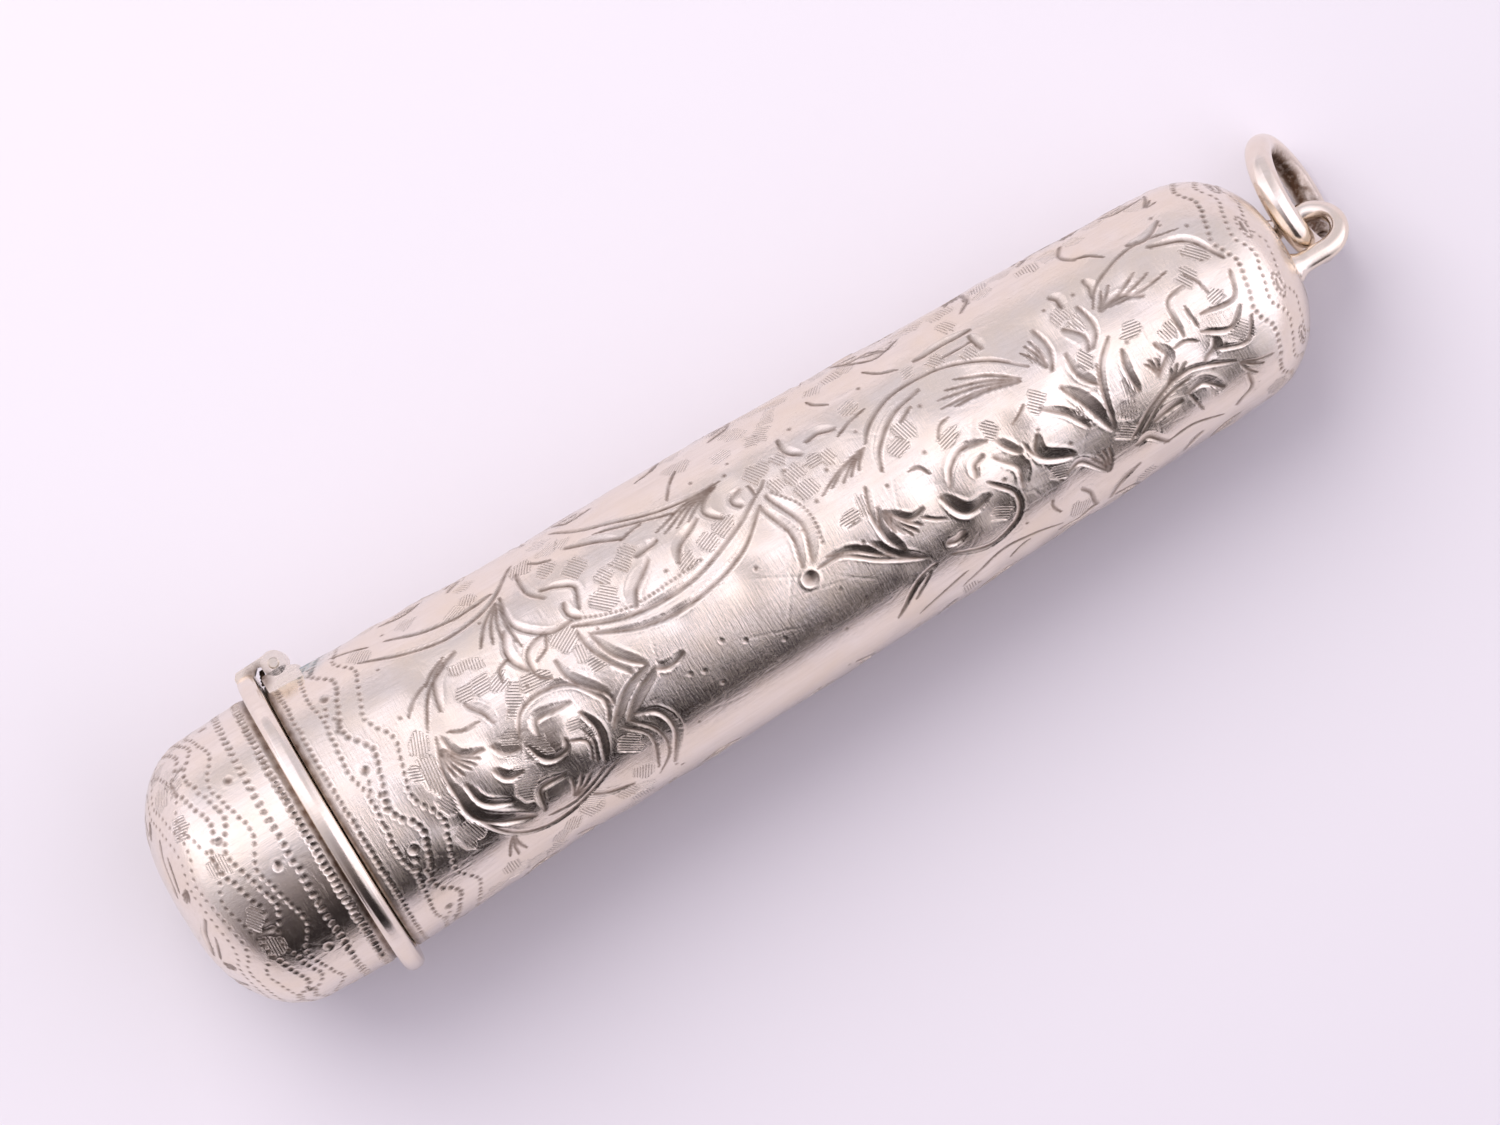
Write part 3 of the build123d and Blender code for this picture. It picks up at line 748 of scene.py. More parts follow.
FAR_SCROLL = (
    ("fine", (52.3, -2.7), (53.4, -3.9), (56.2, -4.7), (59.1, -4.2)),
    ("broad", (57, -4.2), (59.2, -3.4), (60.4, -1.4)),
    ("fan", (52.5, -2.4), (53.3, -3.4), (53.9, -3.5), (55.5, -3.3), (56.2, -2.9), (57.1, -2.4)),
    ("broad", (52.6, -2.4), (54, -2.7), (55.2, -1.9)),
    ("stem", (57.5, -1.2), (56.2, -0.8), (56, 1.3)),
    ("fine", (56.9, -0.2), (56.9, 0.5), (57, 1.3)),
    ("stem", (60.3, -0.6), (59.6, 0.9), (57.5, 0.7)),
    ("stem", (59.8, 1.4), (58.6, 2.3), (57, 1.6)),
    ("fine", (56.6, 2), (55.9, 1.6), (55.1, 1.6)),
    ("fine", (57.8, -1.8), (58.3, -1), (58.5, -0.1)),
    ("leaf", (57.6, 2.3), (57.3, 2.9), (56.4, 3.2)),
    ("stem", (57.3, 2.9), (59.1, 3.4), (60.1, 2.2)),
    ("broad", (52.5, 0.1), (52.2, 1.3), (52.2, 2.7)),
    ("leaf", (54.3, 0.8), (54.7, 1.8), (53.6, 2.6)),
    ("fan", (53.6, 2.6), (53.2, 1.5), (53.5, 1.4), (53.9, 1.5)),
    ("stem", (50.5, 4.9), (52.6, 3.7), (55.3, 3.1), (58.1, 4.1)),
    ("fine", (51.2, 4.9), (53, 3.9), (55.3, 3.5)),
    ("fan", (58.1, 4.2), (60.2, 4.8), (59.5, 5), (58.9, 5.3)),
    ("fan", (53.8, 3.3), (54.4, 2.5), (54.9, 2.4), (55.4, 2.6)),
    ("leaf", (54.6, 4.2), (55.8, 4.1), (56.8, 5)),
    ("fine", (54.7, 4.3), (54.9, 4.9), (55.1, 5.5)),
    ("leaf", (58.4, 5.1), (58.4, 5.9), (57.1, 6.3)),
    ("leaf", (50.7, 5.3), (51.6, 5.2), (52.5, 6)),
    ("leaf", (52.2, 4.6), (53.2, 4.4), (54.2, 4.4)),
    ("fine", (52.1, 6), (54.2, 5.9), (56.2, 6.4)),
    ("leaf", (53.3, 7), (53.9, 6.8), (54.6, 6.6)),
    ("leaf", (48.1, 7.1), (49.1, 6.6), (50.4, 6.3)),
    ("leaf", (53, -6.8), (52.7, -6.3), (53.2, -5.7)),
    ("fine", (53.1, -5.8), (53.9, -5.5), (54.6, -5)),
    ("leaf", (56.1, -4.9), (57.2, -4.8), (58.4, -5.2)),
    ("leaf", (52.8, -4.4), (53, -3.9), (52.7, -3.3)),
    ("leaf", (50.6, -4.6), (51, -4.3), (50.9, -3.7)),
    ("fan", (58.3, -6.2), (58.9, -6.9), (58.9, -6.5), (59.1, -6.2)),
)
# Patches of fine parallel lines: place, length and width of the patch, heading of its lines in degrees
SHADING = (
    (10.8, -3.6, 0.9, 2, 100), (10, -2.3, 1, 1, 5), (11.1, -2.3, 1.1, 1, 0), (12, -1.9, 1.2, 1, -19),
    (12.2, -0.6, 1, 2, 31), (13.8, -0.9, 1.8, 1, 8), (16.5, -2.2, 1.4, 1.4, -29), (16.9, -0.9, 1, 0.8, 97),
    (17.5, 0, 1.2, 0.9, 0), (10.7, 1.4, 0.9, 1.6, 28), (11.9, 2.4, 1.6, 1.5, 25), (10.4, 3.9, 1.5, 2.2, 25),
    (6.2, -1.1, 1.3, 1.1, 112), (6, 0.6, 2.4, 1.1, 97), (5.4, 0.2, 0.9, 0.9, 22), (5.9, 2.6, 1.2, 1, 68),
    (6.1, 4.7, 1.6, 1.5, 76), (16.7, 5, 1.5, 1.1, 38), (14.4, 2.4, 0.9, 0.8, 14), (15, 3.3, 0.9, 0.6, 0),
    (21.8, -4.4, 1.3, 1.6, 57), (19.1, -5.3, 1.2, 1.4, 57), (20.2, -4.1, 1, 1, 60),
    (19.6, -3, 1.6, 1.4, 45), (27.6, -3, 1.4, 1.1, -22), (26.4, -2.7, 1.2, 1, -22), (24.8, -2.3, 1, 1, -22),
    (17.6, -6.1, 1, 1.2, 57), (30.9, -4.7, 1.2, 1.5, 60), (32.4, -4.7, 0.9, 0.9, 60),
    (32.6, -3.5, 1.2, 1.2, 75), (31.4, -3.5, 0.8, 0.8, 75), (32.8, -2.3, 1, 1.2, 75),
    (34.8, -3.3, 1.1, 0.8, 75), (34, -3.6, 0.9, 0.8, 0), (39.3, -2.4, 1.2, 1.1, 75),
    (38.5, -1.7, 1.2, 0.9, -15), (41.2, -0.6, 1.2, 0.8, -15), (43.5, 0.2, 0.9, 0.9, 45),
    (44.9, -4.2, 0.9, 0.9, 70), (43, -4.9, 1, 0.9, 60), (41.4, -5.1, 0.9, 0.8, -10),
    (37.3, -5.1, 1, 0.9, -20), (35, 0.2, 1.3, 0.6, 97), (48.6, 1.8, 0.7, 0.7, 90),
    (46.6, 0.2, 0.9, 1.2, 45), (34.1, 0.4, 0.9, 0.8, 0), (50.5, -3.4, 1, 1.1, 75), (51, -2.5, 1, 1, 75),
    (59.1, -2.6, 1.4, 1, 50), (57.9, -1.5, 1.2, 1, 60), (53.5, -0.6, 1.2, 0.9, 10),
    (55.4, 0.6, 0.9, 1.1, 75), (58.8, 0.2, 0.8, 0.8, -10), (59, 2.7, 1.7, 1.2, 50),
    (50.2, -0.4, 0.9, 1, 60), (51.7, 2.2, 1.4, 0.7, 100), (51, 3.3, 1.2, 1.2, 110),
    (50.4, 4.4, 1.1, 0.8, 40), (56.3, 4.8, 0.9, 0.8, 75), (45.9, 4.4, 1.2, 0.8, 20),
    (41.8, 4.7, 1.2, 0.8, 35), (48, -2.2, 0.9, 0.9, 80),
)
# Low swellings and hollows that the hammering and the wear have left: place, radius, height
SWELLINGS = (
    (13.5, 2, 1.8, 0.17), (9.2, 2.6, 1.6, 0.09), (15.5, -4.6, 1.3, 0.08), (20.5, -3.5, 1.6, 0.07),
    (11.5, 5.2, 1.4, 0.08), (41.5, 2.3, 1.7, 0.15), (37.5, 1.6, 1.4, 0.08), (45.5, 1.6, 1.5, 0.07),
    (41.5, 4.3, 1.1, -0.08), (45.2, 3.9, 1.1, -0.07), (46, -3, 1.3, 0.08), (51.5, 1.2, 1.5, 0.07),
    (57.8, 1, 1.6, 0.09), (54.5, 3.6, 1.2, -0.05), (25, -4.3, 1.7, -0.06), (28.5, -4.2, 1.2, -0.07),
    (7.9, -2.8, 1.5, 0.06),
)


def engrave_body():
    end_x, end_r = BODY_PROFILE[-1]
    side = smooth_through(BODY_PROFILE)
    mouth_x, mouth_r = BODY_PROFILE[0]
    mouth = rounded_corner((mouth_x + MOUTH_ROUND, mouth_r - MOUTH_ROUND), MOUTH_ROUND, 180, 90)
    side = side[side[:, 0] > mouth_x + MOUTH_ROUND]
    outline = np.vstack([mouth, side[:-1], dome_outline(end_x, end_r, END_DEPTH, END_FLAT_R, 1)])
    work = Engraving(outline, 11)
    at = work.seen

    # Mouth border
    rings_of_punches(work, ((0.75, 0, 0, 0.42, 0.18, 0), (2.15, 0.12, 10, 0.44, 0.18, 1.2),
                            (3.4, 0.48, 10, 0.44, 0.18, 3.8), (4.8, 0.42, 10, 0.44, 0.18, 3.8)))
    for k in range(10):
        w = (k + 0.72) * ROUND / 10
        work.pits(2.9, w, 0.3, 0.09)
        work.pit_row(2.75, 0.22, 30, 0.44, 0.16, span=(w + 0.5, w + 2.6))
    # Far border, then the dome
    rings_of_punches(work, ((60.7, 0.3, 9, 0.42, 0.17, 2.2), (62.0, 0.35, 9, 0.42, 0.15, 2.2),
                            (63.5, 0.3, 9, 0.4, 0.13, 2.6), (65.6, 0, 0, 0.34, 0.11, 0)))
    for k in range(9):
        w = (k + 0.4) * ROUND / 9
        ring = np.arange(0, 2 * math.pi, 0.5)
        work.pits(62.8 + 0.33 * np.cos(ring), w + 1.1 * np.sin(ring), 0.12, 0.05)
        work.cut([(62.8, w - 0.6), (62.7, w), (62.8, w + 0.6)], "fine")

    for strokes in (LEFT_SCROLL, CARTOUCHE, RIGHT_SCROLL, FAR_SCROLL):
        work.draw(strokes)
    for s, t, long, wide, heading in SHADING:
        work.shade(*at(s, t), size=(long, wide), heading=math.radians(heading), sink=0.035)
    for s, t, radius, height in SWELLINGS:
        work.hump(*at(s, t), radius=radius, height=height)
    work.cut([at(20.1, 2), at(20.9, 2.2), at(21.9, 2)], "leaf")
    work.pits(*at(30.3, 2.2), radius=0.45, deep=0.12)
    for s, t in ((27.9, 0.1), (21.6, 3.3), (22.4, 3.6), (24.1, 2.6), (25.3, 3.3), (23, 4.7), (27.3, 4.4)):
        work.pits(*at(s, t), radius=0.15, deep=0.05)

    def plain(p, w):
        """The cartouche, and the top of the wall, whose scrolls are drawn above."""
        offset = float(work.radius_at(p)) * math.sin(w / UNROLL_R)
        return math.cos(w / UNROLL_R) > -0.1 and (abs(offset) < 6.3 or 16.5 < p < 34 and offset > 0)

    # The rest of the wall, which faces the table or lies behind
    for row, p in enumerate((10.5, 20, 29.5, 39, 48.5, 56.5)):
        for column, w in enumerate((14.5, 22.5, 30, 37.5)):
            hand = 1 if (row + column) % 2 else -1
            work.spray(p, w, 0.95, work.rng.uniform(0, 2 * math.pi), hand)
    work.ground(5.8, 60.3, 1.5, 0.5, plain)
    work.dirt += 0.95 * np.exp(-((work.along - 0.22) / 0.24) ** 2)[:, None]
    dents(work, 420, 0.026, 3, 62, (18, 34, 0, ROUND / 4))
    dents(work, 1300, 0.1, 5, 61, (18, 34, 0, ROUND / 4), (0.5, 1.2))
    nicks_and_pits(work, 160, 6, 60)
    work.hairlines(650, 3, 62)
    work.hump(*at(30, 1), radius=7, height=-0.05)
    work.sink()
    work.soften()
    return work


def engrave_lid():
    at_band = (-BAND_WIDTH, LID_RIM_R - (LID_RIM_R - LID_SHOULDER[1]) * BAND_WIDTH / -LID_SHOULDER[0])
    dome = dome_outline(*LID_SHOULDER, LID_DEPTH + LID_SHOULDER[0], LID_FLAT_R, -1)
    work = Engraving(np.vstack([[at_band], dome]), 23)
    # Distances run from the band's edge, so the rows sit a band's width nearer than from the seam
    for p in (0.62, 0.8):
        work.rng = np.random.default_rng(5)
        work.pit_row(p, 0, 0, 0.42, 0.19, 0.12)
    for p in (2.02, 2.2):
        work.rng = np.random.default_rng(6)
        work.pit_row(p, 0, 0, 0.56, 0.17, 0.08)
    rings_of_punches(work, ((3.7, 0.4, 9, 0.46, 0.18, 0.9), (4.7, 0.45, 9, 0.46, 0.18, 2.6),
                            (5.6, 0.5, 9, 0.46, 0.17, 2.6), (6.5, 0.45, 9, 0.48, 0.15, 0.2),
                            (7.7, 0.4, 7, 0.5, 0.14, 1.8), (8.5, 0.3, 7, 0.5, 0.12, 1.8)))
    for k in range(9):
        work.pits(3.0, (k + 0.1) * ROUND / 9, 0.3, 0.1)
    ovals_round(work, 5.2, 9, 0.6, 0.6, 0.45)
    channel = np.exp(-((work.along - 0.12) / 0.26) ** 2)[:, None]
    work.relief -= 0.07 * channel
    work.dirt += 1.1 * channel
    for k in range(7):
        w = (k + 0.2) * ROUND / 7
        work.cut([(9.1, w), (10.2, w + 1.4), (10.9, w + 4.4)], "broad")
        work.cut([(9.2, w + 1.6), (9.7, w + 3.0), (10.2, w + 4.4)], "fine")
        work.spread((9.1, w + 4.6), 0.6, 0.9, 1.4, 4)
    for _ in range(16):
        work.shade(work.rng.uniform(5, 7.5), work.rng.uniform(0, ROUND), (1.2, 1.3), work.rng.uniform(0, 3))
    dents(work, 60, 0.016, 1, 11)
    work.hairlines(120, 1, 11)
    work.sink()
    work.soften()
    return work


def shell(work, name, inner, first_flat, stain=None):
    """One closed skin: the engraved outside, the rim, and a plain inside that ends at the pole."""
    outside = work.surface()
    cols, rows = work.cols, work.rows
    inner_cols = 128
    turn_inside = turned(inner, inner_cols)
    # The rim is a strip of the outside's fineness, so no seam shows at the lip
    lip = np.array(first_flat, float)
    rim = turned(lip, cols)
    points = [outside.reshape(-1, 3), rim.reshape(-1, 3), turn_inside.reshape(-1, 3)]
    offsets = np.cumsum([0] + [len(p) for p in points])
    flip = outside[0, 0, 0] > outside[-1, 0, 0]
    quads = [grid_quads(rows, cols, 0, flip)]
    k = np.arange(cols)
    after = (k + 1) % cols
    bridge = np.stack([offsets[1] + k, offsets[1] + after, after, k], 1)
    quads.append(bridge[:, ::-1] if flip else bridge)
    quads.append(grid_quads(len(lip), cols, offsets[1], not flip))
    quads.append(grid_quads(len(inner), inner_cols, offsets[2], not flip))
    # Zip the fine rim to the coarse inside
    last_rim = offsets[1] + (len(lip) - 1) * cols
    tris = []
    a, b = 0, 0
    while a < cols or b < inner_cols:
        ka, kb = last_rim + a % cols, offsets[2] + b % inner_cols
        if b >= inner_cols or (a < cols and (a + 1) / cols <= (b + 1) / inner_cols):
            tris.append((ka, kb, last_rim + (a + 1) % cols))
            a += 1
        else:
            tris.append((ka, kb, offsets[2] + (b + 1) % inner_cols))
            b += 1
    tris = np.array(tris)
    if flip:
        tris = tris[:, ::-1]
    caps = []
    for first, count, turn_over in ((cols * (rows - 1), cols, not flip),
                                    (offsets[2] + inner_cols * (len(inner) - 1), inner_cols, flip)):
        j = np.arange(1, count - 1)
        cap = np.stack([first + 0 * j, first + j, first + j + 1], 1)
        caps.append(cap if turn_over else cap[:, ::-1])
    tris = np.vstack([tris, *caps])
    quads = np.vstack(quads)
    engraved_count = (rows - 1) * cols
    slots = np.ones(len(quads) + len(tris))
    slots[:engraved_count] = 0
    slots[-len(caps[0]) - len(caps[1]):-len(caps[1])] = 0
    ob = mesh_piece(name, to_row(np.vstack(points)), quads, tris, [ENGRAVED, INSIDE], 60, slots)
    rest = offsets[3] - rows * cols
    for key, grid in (("patina", work.dirt), ("hatch", work.hatch), ("hatch_phase", work.hatch_phase)):
        add_attribute(ob, key, np.concatenate([grid.ravel(), np.zeros(rest)]))
    stains = np.zeros(offsets[3])
    if stain is not None:
        every = np.vstack(points)
        stains = np.clip(1.15 - np.linalg.norm((every - stain[0]) / stain[1], axis=1), 0, 1)
    add_attribute(ob, "stain", stains)
    return ob


def make_body():
    work = engrave_body()
    end_x, end_r = BODY_PROFILE[-1]
    bore = [(x, r - BODY_WALL) for x, r in BODY_PROFILE]
    inner = np.vstack([smooth_through(bore, 4)[:-1],
                       dome_outline(end_x, end_r - BODY_WALL, END_DEPTH - BODY_WALL, END_FLAT_R, 1)[::3]])
    mouth_x, mouth_r = BODY_PROFILE[0]
    lip = [(mouth_x, mouth_r - MOUTH_ROUND - 0.03), (mouth_x, mouth_r - BODY_WALL)]
    stain = (np.array([2.2, 8.6, 0.0]), np.array([2.4, 1.5, 4.2]))
    ob = shell(work, "engraved_body", inner, lip, stain)
    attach(ob, "case_body")
    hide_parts("body_tube", "end_dome")


def make_lid():
    work = engrave_lid()
    x, r = LID_SHOULDER
    inner = np.vstack([[(0, LID_RIM_R - LID_WALL - 0.03)],
                       dome_outline(x, r - LID_WALL, LID_DEPTH + x - LID_WALL, LID_FLAT_R, -1)[::3]])
    lip = [(-BAND_WIDTH * 0.5, LID_RIM_R - 0.02), (-0.02, LID_RIM_R - 0.01), (0, LID_RIM_R - 0.03),
           (0, LID_RIM_R - LID_WALL)]
    ob = shell(work, "engraved_lid", inner, lip)
    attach(ob, "lid")
    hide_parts("lid_dome")


# ---------------------------------------------------------------------------------------------------------
# Plain turned and bent pieces
# ---------------------------------------------------------------------------------------------------------
def lathed(name, outline, body, nodes, material, wobble=0.0, cols=480):
    """A closed outline turned about the case axis, with the slight waviness of a hand-fitted strip."""
    rng = np.random.default_rng(3)
    ring = turned(np.array(outline, float), cols)
    turn = np.arange(cols) * 2 * math.pi / cols
    wave = sum(rng.normal(0, wobble / k) * np.sin(k * turn + rng.uniform(0, 6)) for k in range(2, 14))
    ring[..., 0] += wave * (ring[..., 0] < -BAND_WIDTH * 0.5)
    rows = len(outline)
    quads = grid_quads(rows, cols)
    k = np.arange(cols)
    last = (rows - 1) * cols
    closing = np.stack([last + k, last + (k + 1) % cols, (k + 1) % cols, k], 1)
    ob = mesh_piece(name, to_row(ring.reshape(-1, 3)), np.vstack([quads, closing]), [], [material], 50)
    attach(ob, body)
    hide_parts(*nodes)


def make_band():
    inner_r = LID_RIM_R - 0.03
    edge = 0.22
    side_r = BAND_R - 0.12 - edge
    crown = [(-x, BAND_R - 0.12 * (abs(x / BAND_WIDTH - 0.5) * 2) ** 2)
             for x in np.linspace(edge * 1.1, BAND_WIDTH - edge * 1.1, 9)]
    outline = [(0, inner_r), (0, side_r - 0.3)]
    outline += rounded_corner((-edge, side_r), edge, 0, 80)
    outline += crown
    outline += rounded_corner((-BAND_WIDTH + edge, side_r), edge, 100, 180)
    outline += [(-BAND_WIDTH, LID_RIM_R + 0.18), (-BAND_WIDTH - 0.06, LID_RIM_R + 0.02),
                (-BAND_WIDTH - 0.12, LID_RIM_R - 0.1), (-BAND_WIDTH, inner_r - 0.05)]
    lathed("rim_band", outline[::-1], "lid", ["lid_rim_band"], POLISHED, wobble=0.012)


def make_collar():
    mouth_x, mouth_r = BODY_PROFILE[0]
    seat_r = mouth_r - BODY_WALL + 0.02
    deep_r = 8.06
    tip = COLLAR_R - COLLAR_WALL / 2
    outline = rounded_corner((-COLLAR_RISE + COLLAR_WALL / 2, tip), COLLAR_WALL / 2, 270, 90, 9)
    outline += [(-0.1, COLLAR_R), (mouth_x, COLLAR_R + 0.02), (mouth_x + 0.15, seat_r),
                (COLLAR_DEPTH, deep_r), (COLLAR_DEPTH, deep_r - COLLAR_WALL), (0, COLLAR_R - COLLAR_WALL)]
    lathed("mouth_sleeve", outline, "case_body", ["mouth_collar"], GILDED, cols=360)


def swept(name, path, radii, body, nodes, material, around):
    """A round wire along row-frame points in metres, capped with slightly domed ends."""
    path = np.asarray(path, float)
    count = len(path)
    ahead = np.gradient(path, axis=0)
    ahead /= np.linalg.norm(ahead, axis=1)[:, None]
    middle = path.mean(0)
    spread = np.linalg.svd(path - middle)[2][2]
    side = np.cross(ahead, spread)
    side /= np.linalg.norm(side, axis=1)[:, None]
    other = np.cross(ahead, side)
    turn = np.arange(around) * 2 * math.pi / around
    ring = (path[:, None] + np.asarray(radii)[:, None, None]
            * (side[:, None] * np.cos(turn)[None, :, None] + other[:, None] * np.sin(turn)[None, :, None]))
    points = ring.reshape(-1, 3)
    quads = grid_quads(count, around)
    j = np.arange(around)
    after = (j + 1) % around
    head, tail = len(points), len(points) + 1
    bulge = 0.15 * np.asarray(radii)[[0, -1]]
    points = np.vstack([points, path[0] - ahead[0] * bulge[0], path[-1] + ahead[-1] * bulge[1]])
    last = (count - 1) * around
    tris = np.vstack([np.stack([head + 0 * j, after, j], 1),
                      np.stack([tail + 0 * j, last + j, last + after], 1)])
    ob = mesh_piece(name, points, quads, tris, [material], 35)
    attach(ob, body)
    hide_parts(*nodes)


def make_loop():
    """Two limbs sunk in the dome and a round bend. The wire swells where the solder has run up it."""
    bend_x = LOOP_REACH - LOOP_WIRE_R - LOOP_HALF_SPAN
    turn = np.linspace(-math.pi / 2, math.pi / 2, 60)
    limb = np.linspace(-0.45, bend_x, 40)[:-1]
    flat = [(x, -LOOP_HALF_SPAN) for x in limb]
    flat += [(bend_x + LOOP_HALF_SPAN * math.cos(a), LOOP_HALF_SPAN * math.sin(a)) for a in turn]
    flat += [(x, LOOP_HALF_SPAN) for x in limb[::-1]]
    flat = np.array(flat)
    across = np.array([0, -math.cos(LOOP_ROLL), math.sin(LOOP_ROLL)])
    path = flat[:, 0:1] * np.array([1, 0, 0]) + flat[:, 1:2] * across + np.array([POLE_X, 0, 0])
    radii = LOOP_WIRE_R * (1 + 0.5 * np.exp(-((flat[:, 0] + 0.1) / 0.42) ** 2))
    radii *= 1 - 0.07 * np.exp(-((flat[:, 0] - LOOP_REACH + LOOP_WIRE_R) / 0.8) ** 2)
    swept("suspension_loop_wire", to_row(path), radii * MM, "case_body", ["suspension_loop"],
          POLISHED, 48)


def make_ring():
    """The jump ring as bent: nearly round, its ends a little out of line at the butt joint."""
    low, high = (np.array(v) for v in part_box("jump_ring"))
    centre = (low + high) / 2
    crossing = np.array(RING_JOINT["pos_m"])
    to_crossing = (crossing - centre) / np.linalg.norm(crossing - centre)
    normal = np.cross(to_crossing, np.array(RING_JOINT["axis"]))
    normal *= np.sign(normal[0]) / np.linalg.norm(normal)
    side = np.cross(normal, to_crossing)
    turn = np.linspace(RING_SPLIT_AT + RING_SPLIT_HALF, RING_SPLIT_AT + 2 * math.pi - RING_SPLIT_HALF, 220)
    ends = np.exp(-((turn - turn[0]) / 0.12) ** 2) - np.exp(-((turn[-1] - turn) / 0.12) ** 2)
    reach = RING_R + 0.03 * np.cos(2 * turn + 0.5)
    outwards = np.cos(turn)[:, None] * to_crossing + np.sin(turn)[:, None] * side
    path = centre + (reach * MM)[:, None] * outwards + (0.09 * MM * ends)[:, None] * normal
    radii = RING_WIRE_R * (1 - 0.1 * np.exp(-((turn - turn[0]) / 0.05) ** 2)
                           - 0.1 * np.exp(-((turn[-1] - turn) / 0.05) ** 2) - 0.03 * np.cos(turn) ** 8)
    wall = RING_R - RING_WIRE_R
    # Painted shade: the inward half of the wire is painted brown, darkest on the inner wall
    worn = metal("ring silver", rough=0.14, scratch=0.3,
                 painted_shade_spot=(tuple(centre), (1, 1, 1), (wall + 0.1) * MM, (wall + 0.75) * MM))
    swept("split_jump_ring", path, radii * MM, "ring", ["jump_ring"], worn, 48)


def gap_shade_filler():
    """A dark brown material that paints the shade inside the hinge's gap."""
    n = Nodes("painted gap shade")
    lumps = n.noise(n.stretched((1, 1, 1)), 4.0, 4.0, 0.65)
    n.put(n.shader.inputs["Base Color"], n.blend(lumps, (0.05, 0.028, 0.016, 1), (0.14, 0.085, 0.05, 1)))
    n.put(n.shader.inputs["Roughness"], n.span(lumps, 0.2, 0.8, 0.7, 0.95))
    n.put(n.shader.inputs["Normal"], n.bump(lumps, 0.06 * MM, 0.8))
    return n.material


def dress_hinge():
    """Pale worn silver, with painted brown shade where the lid's leaf closes on the knuckles and in the gap.
    """
    gap = Vector(HINGE["pos_m"]) + MM * Vector((-1.15, -0.3, 0))
    for name, colour, rough in (("hinge_bearer", SILVER_WARM, 0.2), ("knuckle_upper", SILVER_WARM, 0.2),
                                ("knuckle_lower", SILVER_WARM, 0.2), ("lid_knuckle", SILVER, 0.14),
                                ("hinge_pin", PIN_TINT, 0.26)):
        node = frame["nodes"][name]
        # Painted shade round the gap between the lid's leaf and the knuckles
        middle = node.matrix_world.inverted() @ gap
        painted_shade_spot = (middle, (1, 1, 0.1), 0.45 * MM, 1.1 * MM)
        material = metal(name + " silver", colour, rough, painted_shade_spot=painted_shade_spot)
        for holder in node.material_slots:
            holder.material = material
    # Painted shade: a dark brown lump laid along the hinge's gap, where shade falls
    filler_path = np.linspace((0.24, 0.36, 0), (-0.05, -0.5, 0), 14)
    filler_path[:, 0] += 0.02 * np.sin(np.arange(14) * 1.9)
    swept("gap_shade_filler", np.array(gap) + filler_path * MM, 0.16 * MM * (1 + 0.12 * np.sin(np.arange(14) * 2.3)),
          "case_body", [], gap_shade_filler(), 24)


# ---------------------------------------------------------------------------------------------------------
# Stage: floor, light and camera
# ---------------------------------------------------------------------------------------------------------
def make_floor():
    n = Nodes("pale paper")
    mottle = n.noise(n.stretched((1, 1, 1)), 0.02, 3.0, 0.5)
    n.put(n.shader.inputs["Base Color"], n.blend(mottle, (0.62, 0.585, 0.61, 1), (0.64, 0.605, 0.63, 1)))
    n.put(n.shader.inputs["Roughness"], n.span(mottle, 0, 1, 0.75, 0.9))
    n.shader.inputs["Specular IOR Level"].default_value = 0.2
    bpy.ops.mesh.primitive_plane_add(size=3)
    floor = bpy.context.object
    floor.name = "floor"
    floor.data.materials.append(n.material)


# Brightness of the room from +Y (-1) over the top (0) to -Y (1), on its closed -X side, on its open +X side
# and furthest to +X, set by comparing the render's tones with the photograph's
CLOSED_SIDE = [(-1.0, 0.7), (-0.87, 1.15), (-0.5, 1.6), (-0.2, 1.3), (0.0, 0.72), (0.24, 0.45), (0.47, 0.25),
               (0.66, 0.1), (0.85, 0.035), (1.0, 0.012)]
OPEN_SIDE = [(-1.0, 0.8), (-0.87, 0.8), (-0.7, 0.7), (-0.47, 0.75), (-0.24, 1.2), (-0.05, 1.7), (0.25, 1.7),
             (0.55, 1.6), (0.77, 1.2), (0.9, 0.25), (1.0, 0.1)]
WIDE_OPEN = [(-1.0, 0.8), (-0.5, 0.8), (-0.24, 1.2), (-0.05, 1.6), (0.5, 1.6), (0.75, 1.1), (0.88, 0.65),
             (1.0, 0.5)]
# Where, along the X of a direction, the room changes from closed to open and from open to wide open
OPENS = (0.105, 0.165)
WIDENS = (0.18, 0.25)
ROOM_TINT = (1.0, 0.95, 1.09)
DARK_TINT = (1.0, 0.80, 0.86)


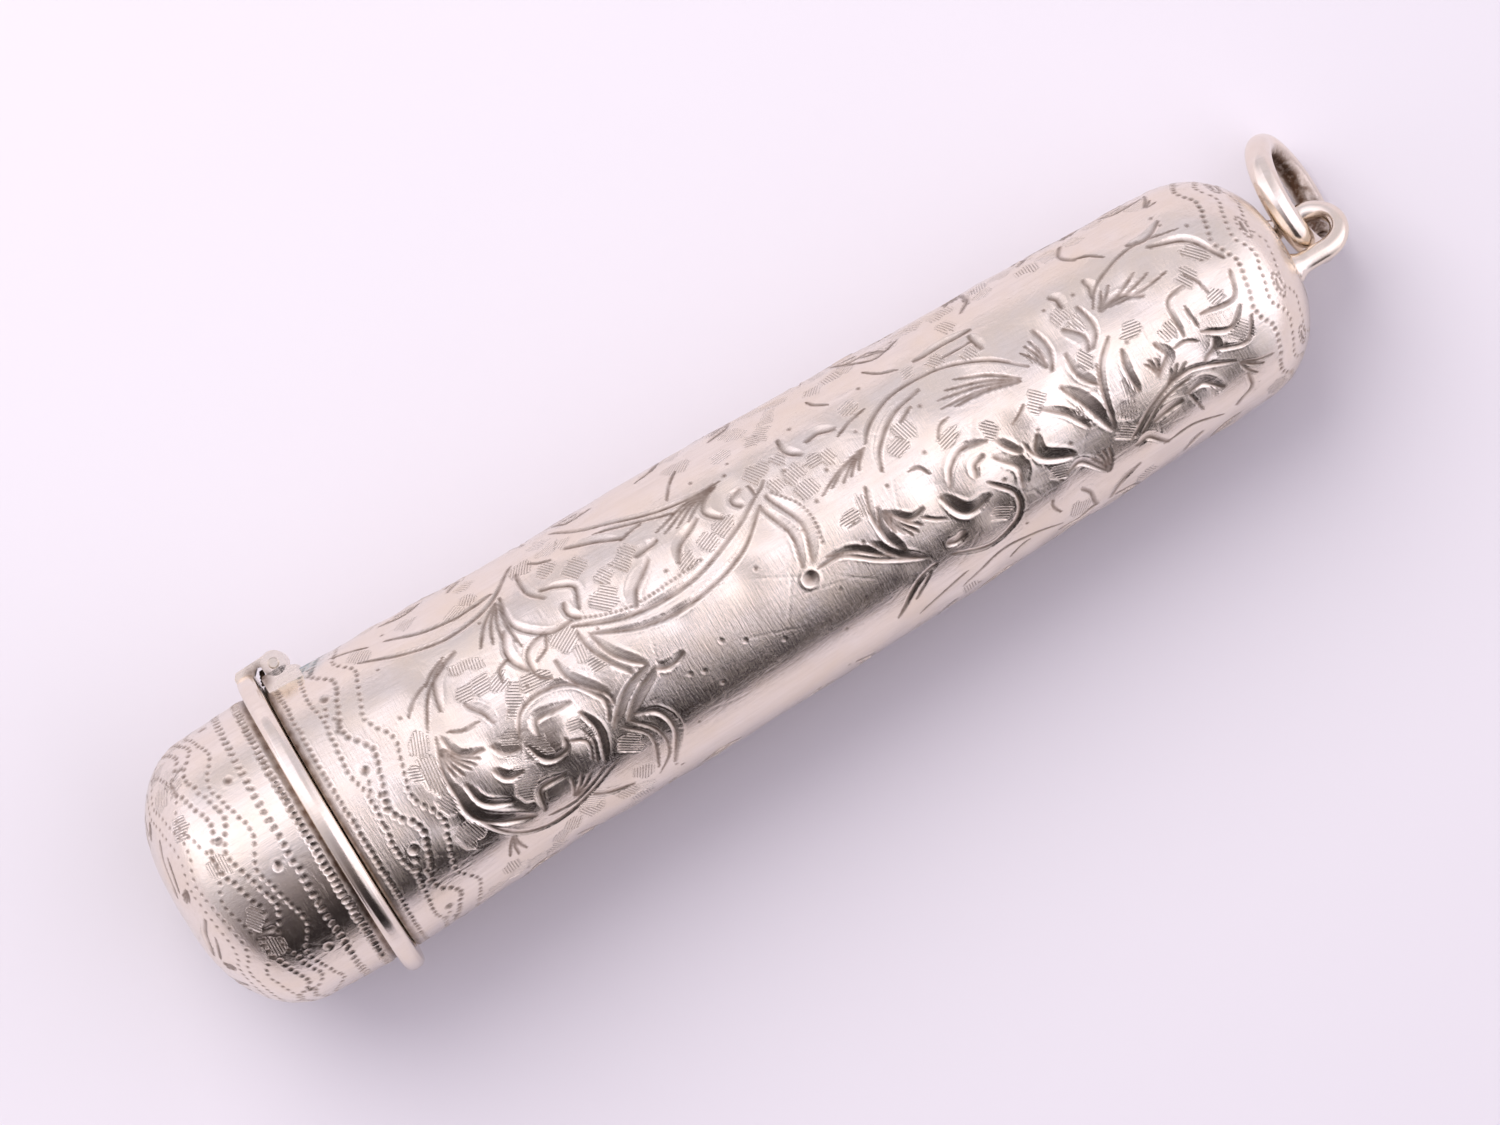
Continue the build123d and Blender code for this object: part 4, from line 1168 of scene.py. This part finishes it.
def make_sky():
    """Soft studio surroundings: a bright ceiling, and a dark side towards -Y that opens at +X."""
    world = bpy.data.worlds.new("studio")
    bpy.context.scene.world = world
    world.use_nodes = True
    tree = world.node_tree
    back = tree.nodes["Background"]
    direction = tree.nodes.new("ShaderNodeTexCoord").outputs["Generated"]

    def mix(share, a, b):
        node = tree.nodes.new("ShaderNodeMix")
        node.data_type = "RGBA"
        tree.links.new(share, node.inputs[0])
        for socket, value in ((node.inputs[6], a), (node.inputs[7], b)):
            if isinstance(value, bpy.types.NodeSocket):
                tree.links.new(value, socket)
            else:
                socket.default_value = value
        return node.outputs[2]

    def profile(position, stops):
        """Brightness along a -1 to 1 position, from (position, brightness) stops."""
        shifted = tree.nodes.new("ShaderNodeMapRange")
        tree.links.new(position, shifted.inputs["Value"])
        shifted.inputs["From Min"].default_value = -1
        ramp = tree.nodes.new("ShaderNodeValToRGB")
        tree.links.new(shifted.outputs["Result"], ramp.inputs["Fac"])
        while len(ramp.color_ramp.elements) < len(stops):
            ramp.color_ramp.elements.new(0.5)
        for stop, (spot, bright) in zip(ramp.color_ramp.elements, stops):
            stop.position = (spot + 1) / 2
            warm = max(0.0, 1 - bright / 0.55)
            stop.color = [bright * (a + (b - a) * warm) for a, b in zip(ROOM_TINT, DARK_TINT)] + [1]
        return ramp.outputs["Color"]

    parts = tree.nodes.new("ShaderNodeSeparateXYZ")
    tree.links.new(direction, parts.inputs[0])
    towards_dark = tree.nodes.new("ShaderNodeMath")
    towards_dark.operation = "MULTIPLY"
    tree.links.new(parts.outputs["Y"], towards_dark.inputs[0])
    towards_dark.inputs[1].default_value = -1

    def beyond(low, high):
        """0 where a direction's X is below low, rising smoothly to 1 above high."""
        ramp = tree.nodes.new("ShaderNodeMapRange")
        ramp.interpolation_type = "SMOOTHSTEP"
        tree.links.new(parts.outputs["X"], ramp.inputs["Value"])
        ramp.inputs["From Min"].default_value = low
        ramp.inputs["From Max"].default_value = high
        return ramp.outputs["Result"]

    sides = (CLOSED_SIDE, OPEN_SIDE, WIDE_OPEN)
    closed, opened, wide = (profile(towards_dark.outputs[0], stops) for stops in sides)
    tone = mix(beyond(*OPENS), closed, mix(beyond(*WIDENS), opened, wide))
    tree.links.new(tone, back.inputs["Color"])
    back.inputs["Strength"].default_value = 1.0


KEY_PLACE = (-0.06, 0.24, 0.3)
KEY_SIZE = 0.34
KEY_WATTS = 1.15


def make_lights():
    light = bpy.data.lights.new("soft key", "AREA")
    light.shape = "DISK"
    light.size = KEY_SIZE
    light.energy = KEY_WATTS
    light.color = (1.0, 0.98, 0.96)
    key = bpy.data.objects.new("soft_key", light)
    key.location = KEY_PLACE
    key.rotation_euler = (Vector((0, 0, 0)) - key.location).to_track_quat("-Z", "Y").to_euler()
    key.visible_glossy = False
    bpy.context.scene.collection.objects.link(key)


CAMERA_LENS = 146.4
CAMERA_PLACE = (-0.00085, 0.00017, 0.365)
CAMERA_TURN = math.atan2(-0.515, 0.857)


def make_camera():
    """Straight down from above, turned so that the case lies as it does in the photograph."""
    data = bpy.data.cameras.new("camera")
    data.sensor_width = 36
    data.lens = CAMERA_LENS
    data.clip_start = 0.01
    camera = bpy.data.objects.new("camera", data)
    camera.location = CAMERA_PLACE
    camera.rotation_euler = (0, 0, CAMERA_TURN)
    bpy.context.scene.collection.objects.link(camera)
    bpy.context.scene.camera = camera
    bpy.context.scene.view_settings.view_transform = "Standard"


make_body()
make_lid()
make_band()
make_collar()
make_loop()
make_ring()
dress_hinge()
make_floor()
make_sky()
make_lights()
make_camera()
